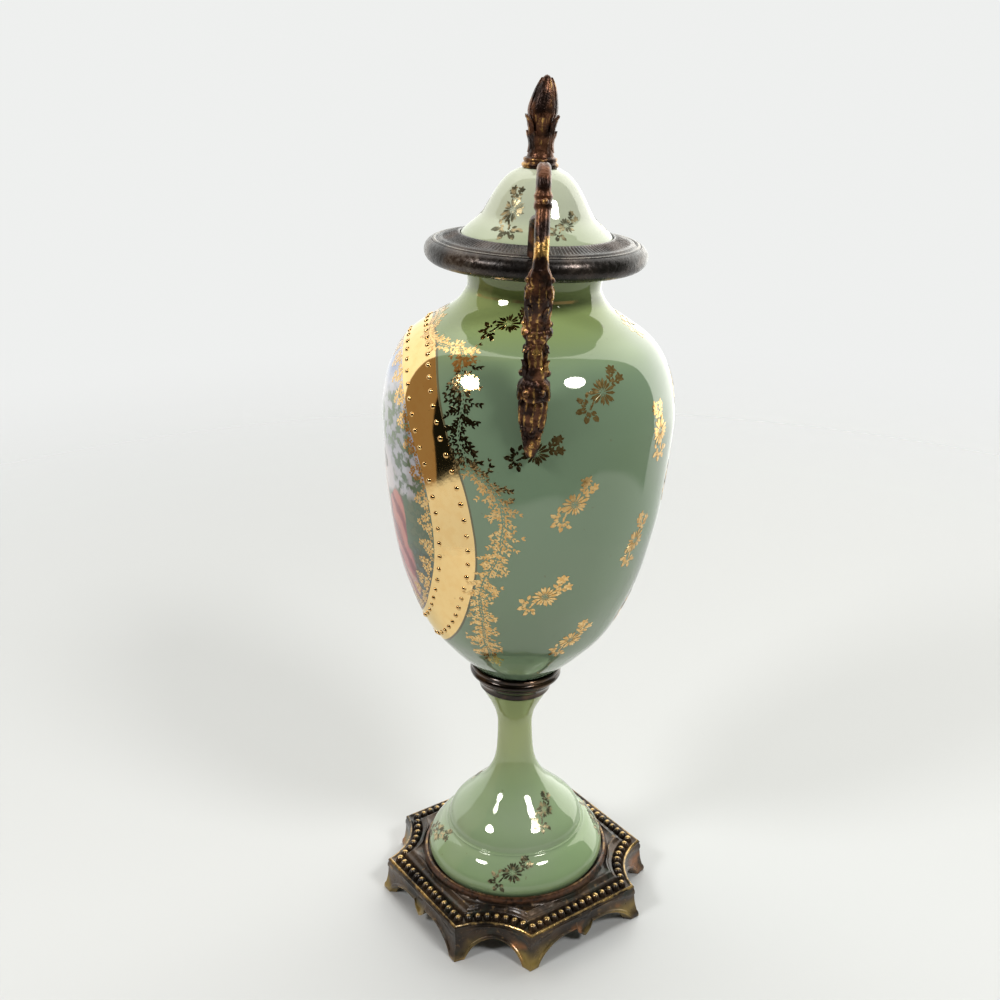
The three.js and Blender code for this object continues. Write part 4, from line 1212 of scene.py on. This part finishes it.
# Lid
# A bell-shaped porcelain lid in the palest glaze, hollow, which lifts off. Its edge rests on the ring's
# ledge and a flange below it keeps it in the mouth.
LID_Z = RIM_Z + SEAT_GAP + RING_LEDGE + SEAT_GAP
LID_HEIGHT = 29.7
LID_EDGE = 2.6
LID_TOP_R = 8.4
LID_WALL = 3
LID_FLANGE = 5.5
LID_CLEARANCE = 0.6
LID_R = RING_INNER_R - LID_CLEARANCE
lid_shares = [
    (1, 0), (0.86, 0.12), (0.66, 0.28), (0.55, 0.44), (0.44, 0.62), (0.3, 0.8), (0.16, 0.92), (0, 1),
]
lid_line = smooth_line(
    [(LID_R, 0), (LID_R + 0.05, 1.3)]
    + [(lerp(LID_TOP_R, LID_R, out), lerp(LID_EDGE, LID_HEIGHT, up)) for out, up in lid_shares],
    80,
)
flange_r = mouth_inner_r - LID_CLEARANCE
flange_inner_r = flange_r - 3
lid_inside = inset_line(lid_line, LID_WALL)
in_lid = (lid_inside[:, 0] < flange_inner_r) & (lid_inside[:, 0] > 2) & (lid_inside[:, 1] > 1)
lid_inside = lid_inside[in_lid][::3]
lid_profile = np.vstack(
    [
        [(flange_inner_r, -LID_FLANGE), (flange_r, -LID_FLANGE), (flange_r, 0)], lid_line,
        [(0, LID_HEIGHT), (0, LID_HEIGHT - LID_WALL)], lid_inside[::-1],
        [(flange_inner_r, 0), (flange_inner_r, -LID_FLANGE)],
    ]
)
celadon_lid, place, green, pits = porcelain(
    "celadon_lid", (0.56, 0.6, 0.44), (0.44, 0.5, 0.33), (0.55, 0.55, 0.5), (335, 350), 1.7
)
feed(celadon_lid, {"Base Color": green, "Normal": bump(place, 1 - pits, 0.04)})
lid = turned("lid_porcelain", lid_profile, celadon_lid, at_height(LID_Z))
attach(lid, "root")
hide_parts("lid")
lid_sheet = Sheet(lid_line[12:76], at_height(LID_Z))
sprigs(
    "lid_sprigs",
    [(60, 14.5, 66, 0.88), (117, 9.5, 10, 0.62), (-20, 10, 0, 0.8), (-95, 12, 20, 0.8), (-160, 9, -10, 0.75)],
    lid_sheet,
    thin_gilding,
)


# Finial
# A cast brass bud in a calyx of acanthus leaves on a moulded neck, gilt once and mostly brown now. It stands
# on the top of the lid, and its tip is bent a little to one side.
FINIAL_Z = LID_Z + LID_HEIGHT + SEAT_GAP
FINIAL_HEIGHT = 36.8
FINIAL_R = 7.8
FINIAL_BEND = 1.2
finial_line = np.vstack(
    [
        [(0, 0), (FINIAL_R - 0.3, 0)],
        smooth_line(
            [
                (FINIAL_R, 0.6), (FINIAL_R, 1.4), (FINIAL_R - 0.7, 2.0), (FINIAL_R - 0.9, 2.5),
                (FINIAL_R - 0.6, 3.1), (FINIAL_R - 0.9, 3.9), (FINIAL_R - 1.9, 4.3), (FINIAL_R - 2.2, 5),
                (5.0, 7.2), (4.6, 9.4), (4.7, 11.2), (5, 13), (4.8, 16), (5, 19), (5.7, 21.5), (5.7, 24),
                (4.9, 27.5), (3.8, 31.2), (2.4, 34.4), (1.2, 36.2), (0, FINIAL_HEIGHT),
            ],
            110,
        ),
    ]
)


def finial_shape(around, radius, height):
    """Pitted skin on the bud."""
    bud = smoothstep(height, 17, 20) * (1 - smoothstep(height, 33, 36.5))
    pits = np.sin(around * 9 + height * 2.1) * np.sin(around * 7 - height * 2.6)
    return radius * (1 + 0.045 * bud * pits), height


def bent(points):
    """The bud's tip stands a little to one side of its axis."""
    points = np.array(points, dtype=float)
    points[:, 1] += FINIAL_BEND * smoothstep(points[:, 2] / FINIAL_HEIGHT, 0.55, 1)
    return leaning(points + np.array([0, 0, FINIAL_Z]))


# On the handles the worn attribute also carries a painted highlight: the gilt band on the stem's outer face.
old_gilt, place = new_material("old_gilt", {"Specular IOR Level": 0.5})
worn = place.node("ShaderNodeAttribute", {"attribute_name": "worn"}, output="Fac")
cloudy = place.noise(150, 5)
grain = place.noise(900, 4, 4.4)
gold_share = (worn * 1.3 + cloudy * 2.4 - 2.1 + (grain - 0.5) * 1.3).ramp(0, 0.7)
bronze = cloudy.ramp(0.4, 0.62).mix((0.024, 0.01, 0.006), (0.16, 0.064, 0.03))
feed(
    old_gilt,
    {
        "Base Color": gold_share.mix(bronze, (0.8, 0.47, 0.14)),
        "Metallic": 0.7 + gold_share * 0.3,
        "Roughness": 0.34 - gold_share * 0.08 + (grain - 0.5) * 0.3,
        "Normal": bump(place, grain * 0.8 + place.noise(260, 3, 3.7) * 0.8, 0.3),
    },
)
finial = turned(
    "finial_bud", finial_line, old_gilt, bent, segments=96, sharp_deg=50, shape=finial_shape,
    worn=0.12 + 0.6 * smoothstep(finial_line[:, 0], 5.2, 7),
)
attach(finial, "root")
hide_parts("finial")


def joined(shapes):
    """Some shapes of points, faces and wear as one."""
    points, faces, worn = [], [], []
    for shape_points, shape_faces, shape_worn in shapes:
        faces += [tuple(k + len(points) for k in face) for face in shape_faces]
        points += shape_points
        worn += shape_worn
    return points, faces, worn


def acanthus(surface, leaves, blunt):
    """Cast leaves on a surface(share, turn, height), closed all round, with how worn they are.

    Each leaf is (share at its root, share at its tip, turn, half its spread, lift, curl at its tip). A high
    blunt makes round tips."""
    rows, half_row = 16, 9
    lobes = 3.5 * math.pi
    shapes = []
    for root, tip, middle, half_spread, lift, curl in leaves:
        points, worn = [], []
        for i in range(rows + 1):
            u = i / rows
            spread = min(1, 0.5 + 1.3 * u) * math.sqrt(1 - 0.995 * u**blunt)
            spread *= 1 - 0.14 * abs(math.cos(lobes * u))
            rise = lift * (0.25 + 0.75 * math.sin(math.pi * min(u * 0.62, 1))) + curl * u**3
            for layer in (1, -1):
                for j in range(half_row):
                    v = (2 * j / (half_row - 1) - 1) * layer
                    rib = math.exp(-((v / 0.16) ** 2))
                    vein = 0.5 + 0.5 * math.cos(lobes * (v * v * 0.8 - u * 2))
                    relief = lift * (0.4 * rib + 0.4 * vein * abs(v) - 0.35 * v * v)
                    height = rise + (relief if layer > 0 else -0.45 * lift - 0.3)
                    points.append(surface(lerp(root, tip, u), middle + half_spread * spread * v, height))
                    worn.append(max(0.35 + 0.4 * rib + 0.3 * vein * u + 0.25 * u, 0) if layer > 0 else 0)
        width = 2 * half_row
        rim = grid_faces(rows + 1, width, wrap_columns=True)
        rim += [tuple(range(width))[::-1], tuple(range(rows * width, (rows + 1) * width))]
        shapes.append((points, rim, worn))
    return joined(shapes)


def on_finial(share, turn, height):
    """A place on the bud, its share the height from the finial's foot to its tip."""
    up = share * FINIAL_HEIGHT
    radius = float(np.interp(up, finial_line[2:, 1], finial_line[2:, 0])) + height
    return radius * math.cos(turn), radius * math.sin(turn), up


finial_leaves = []
for k in range(6):
    turn = math.pi / 3 * k
    finial_leaves.append((0.2, 0.57, turn, 0.6, 0.75, 1.8))
    finial_leaves.append((0.16, 0.4, turn + math.pi / 6, 0.5, 0.6, 0.9))
    finial_leaves.append((0.4, 0.97, turn + math.pi / 6, 0.5, 0.5, 0))
leaf_points, leaf_faces, leaf_worn = acanthus(on_finial, finial_leaves, 2.2)
calyx = object_from(
    "finial_leaves", bent(leaf_points), leaf_faces, old_gilt, 45, worn=np.array(leaf_worn) * 0.75
)
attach(calyx, "root")


# Handles
# Two scrolls from one mould, cast in brass and once gilt, with flutes, small leaves and studs on their stems.
# Each meets the ring with its inner scroll and rests a leafy tip on the vase's shoulder.
HANDLE_REACH = 81.5
HANDLE_ABOVE = 42
HANDLE_BELOW = 73
HANDLE_BAR_DEEP = 3.4
HANDLE_TIP_DEEP = 3
VOLUTE_R = 9.8
VOLUTE_EYE_R = 3.4
INNER_SCROLL_ASIDE = -2.4


def out_at(share):
    return RING_R + (HANDLE_REACH - HANDLE_BAR_DEEP - RING_R) * share


def on_vase(height):
    radius = float(np.interp(VASE_HEIGHT + height, vase_line[:, 1], vase_line[:, 0]))
    return radius + 0.5 + HANDLE_TIP_DEEP


volute_middle = (out_at(0.4), HANDLE_ABOVE - VOLUTE_R - HANDLE_BAR_DEEP)
volute = []
for i in range(10):
    turn = math.radians(lerp(-12, 345, i / 9))
    radius = lerp(VOLUTE_R, VOLUTE_EYE_R, (i / 9) ** 1.3)
    volute.append((volute_middle[0] + radius * math.cos(turn), volute_middle[1] + radius * math.sin(turn)))
stem_line = smooth_line(
    [
        (on_vase(-HANDLE_BELOW), -HANDLE_BELOW),
        (on_vase(-HANDLE_BELOW * 0.86) + 0.8, -HANDLE_BELOW * 0.86), (out_at(0.74), -HANDLE_BELOW * 0.68),
        (out_at(0.77), -HANDLE_BELOW * 0.48), (out_at(0.8), -HANDLE_BELOW * 0.28),
        (out_at(0.95), -HANDLE_BELOW * 0.1), (out_at(1), HANDLE_ABOVE * 0.15),
        (out_at(0.87), HANDLE_ABOVE * 0.42),
        *volute,
    ],
    900,
)
stem_sizes = np.array(
    [
        (0, 1.7, 1.2), (0.02, 3, 2.3), (0.05, 3.9, 3), (0.085, 4.4, 3.3), (0.095, 5.5, 4.2),
        (0.12, 5.8, 4.6), (0.155, 6, 4.7), (0.165, 5.5, 4.3), (0.175, 6.5, 5.1), (0.2, 6.7, 5.3),
        (0.215, 6.2, 4.9), (0.225, 4.8, 4.1), (0.24, 5.5, 4.7), (0.255, 5.4, 4.6), (0.265, 4.6, 4),
        (0.29, 4.9, 4.1), (0.31, 4.3, 4.1), (0.325, 4.2, 4.2), (0.34, 5.8, 4.9), (0.36, 6.1, 4.9),
        (0.37, 5.2, 4.3), (0.38, 5.7, 4.5), (0.395, 5.2, 4.2), (0.44, 5.6, 4.3), (0.475, 5.8, 4.2),
        (0.49, 4.8, 3.7), (0.5, 5.1, 3.8), (0.515, 4.4, 3.5), (0.53, 3.2, 3.4), (0.56, 2.8, 3.4),
        (0.62, 2.9, 3.5), (0.673, 2.75, 3.2), (0.685, 3.6, 4.1), (0.698, 3.1, 3.6), (0.712, 3.6, 4.1),
        (0.724, 2.75, 3.2), (0.94, 2.6, 2.4), (0.97, 3.3, 3), (1, 2.6, 1.7),
    ]
)


def balls(surface, middles):
    """Round beads sunk in a surface, at (share, turn, radius)."""
    shapes = []
    for share, turn, radius in middles:
        points = []
        middle = surface(share, turn, radius * 0.25)
        for tilt in np.linspace(-math.pi / 2, math.pi / 2, 8):
            for around in np.arange(12) * math.pi / 6:
                flat = radius * math.cos(tilt)
                away = (flat * math.cos(around), flat * math.sin(around), radius * math.sin(tilt))
                points.append(tuple(m + a for m, a in zip(middle, away)))
        shapes.append((points, grid_faces(8, 12, wrap_columns=True), [0.75] * len(points)))
    return joined(shapes)


def along_bar(line, sizes, share):
    """The middle, direction, half width and half depth of a bar at a share of its line."""
    lengths = run_lengths(line)
    at = share * lengths[-1]
    ahead = places_on(line, lengths, at + 0.3) - places_on(line, lengths, at - 0.3)
    ahead /= np.linalg.norm(ahead, axis=1, keepdims=True)
    wide, deep = (np.interp(share, sizes[:, 0], sizes[:, column]) for column in (1, 2))
    return places_on(line, lengths, at), ahead, wide, deep


def bar(line, steps, sizes, carve, shift=0.0, around=40):
    """A bar along a line in a handle's upright plane, with its sizes at each share and its carving."""
    shares = np.linspace(0, 1, steps + 1)
    middle, ahead, wide, deep = along_bar(line, sizes, shares)
    points, worn = [], []
    for i in range(steps + 1):
        for j in range(around):
            turn = 2 * math.pi * j / around
            grow, wear = carve(shares[i], turn)
            out = deep[i] * math.cos(turn) * grow
            aside = wide[i] * math.sin(turn) * grow + shift
            points.append((middle[i, 0] + ahead[i, 1] * out, aside, middle[i, 1] - ahead[i, 0] * out))
            worn.append(wear)
    faces = grid_faces(steps + 1, around, wrap_columns=True)
    faces += [tuple(range(around))[::-1], tuple(range(steps * around, (steps + 1) * around))]
    return points, faces, worn


def stem_carving(share, turn):
    """Grows or shrinks the stem's section, and says how worn it is there, with a painted highlight on the
    upper outer face.
    """
    if share > 0.53:
        # A gilt band on the outer face below the knuckle, where the bar catches light from above: partly
        # rubbed gilt, partly a painted highlight.
        rubbed_and_lit = math.exp(-(((share - 0.575) / 0.035) ** 2)) * (1 if math.cos(turn) > 0 else 0)
        channel = math.exp(-((math.sin(turn) / 0.5) ** 2)) * (1 if math.cos(turn) > 0 else 0.2) * (1 - rubbed_and_lit)
        return 1 - 0.22 * channel, 0.58 - 0.5 * channel + 0.5 * rubbed_and_lit
    if 0.095 < share < 0.165 or 0.395 < share < 0.485 or 0.26 < share < 0.325:
        flutes = 0.5 + 0.5 * math.cos(11 * turn + math.sin(70 * share))
        return 1 - 0.15 * (1 - flutes), 0.12 + 0.85 * flutes
    ribs = 0.5 + 0.5 * math.cos(7 * turn + 60 * share)
    return 1 - 0.17 * (1 - ribs), 0.1 + 0.75 * ribs**2


inner_line = smooth_line(
    [
        (out_at(0.82), HANDLE_ABOVE * 0.5), (out_at(0.56), HANDLE_ABOVE * 0.46),
        (out_at(0.25), HANDLE_ABOVE * 0.37), (out_at(0.03), HANDLE_ABOVE * 0.2),
        (RING_R - RING_ROLL * 0.55, ROLL_Z + RING_ROLL + SEAT_GAP + 0.9),
    ],
    120,
)
inner_sizes = np.array([(0, 0.3, 0.3), (0.14, 1.5, 1.4), (0.35, 2.2, 2), (1, 2.2, 2)])
stem = bar(stem_line, 420, stem_sizes, stem_carving)
inner_scroll = bar(inner_line, 60, inner_sizes, lambda share, turn: (1, 0.4), INNER_SCROLL_ASIDE, 24)


def on_stem(share, turn, height):
    """A place on the stem's side, a height above it."""
    middle, ahead, wide, deep = along_bar(stem_line, stem_sizes, np.array([share]))
    out = (deep[0] * 0.85 + height) * math.cos(turn)
    aside = (wide[0] * 0.82 + height) * math.sin(turn)
    return middle[0, 0] + ahead[0, 1] * out, aside, middle[0, 1] - ahead[0, 0] * out


# Short leaves over the joints of the stem: shares at root and tip, lift and curl, a front one and two on
# either side
stem_leaves = [(0.1, 0.0, 0, 1.2, 0.5, 0.3)]
for root, tip, lift, curl in (
    (0.12, 0.07, 0.7, 0.8), (0.225, 0.165, 1.0, 0.8), (0.335, 0.295, 0.9, 1.2), (0.39, 0.345, 0.9, 0.7),
    (0.505, 0.45, 0.7, 0.6),
):
    stem_leaves.append((root, tip, 0, 0.5, lift, curl * 0.6))
    for side in (-1, 1):
        stem_leaves.append((root, tip + 0.004, side * 1.05, 0.5, lift, curl))
        stem_leaves.append((root, tip + 0.006, side * 2.2, 0.5, lift * 0.8, curl * 0.6))
stem_balls = [(0.075, 0, 1.5), (0.035, 0, 1.2), (0.69, 0.2, 1.3)]
for side in (-1, 1):
    stem_leaves.append((0.23, 0.28, side * 1.1, 0.42, 0.9, 1.3))
    stem_leaves.append((0.385, 0.44, side * 0.75, 0.4, 0.6, 0.5))
    stem_balls += [
        (0.055, side * 0.8, 1.3), (0.09, side * 1.0, 1.2), (0.24, side * 1.5, 1.5), (0.192, side * 0.52, 1.7),
        (0.31, side * 1.4, 1.4), (0.345, side * 0.5, 1.5), (0.375, side * 1.5, 1.3), (0.5, side * 1.45, 1.2),
    ]
carvings = [acanthus(on_stem, stem_leaves, 6), balls(on_stem, stem_balls)]
# The handles' wear also holds the painted highlight on the stem's outer face.
handle_points, handle_faces, handle_wear_and_highlight = joined([stem, inner_scroll, *carvings])
handle_points = np.array(handle_points)
handle_points[:, 0] = np.minimum(handle_points[:, 0], HANDLE_REACH)
for side, name in ((1, "handle_right"), (-1, "handle_left")):
    turned_points = handle_points * np.array([side, side, 1])
    handle = object_from(
        name + "_cast", leaning(turned_points + np.array([0, 0, RIM_Z])), handle_faces, old_gilt, 50,
        worn=handle_wear_and_highlight,
    )
    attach(handle, "root")
    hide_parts(name)
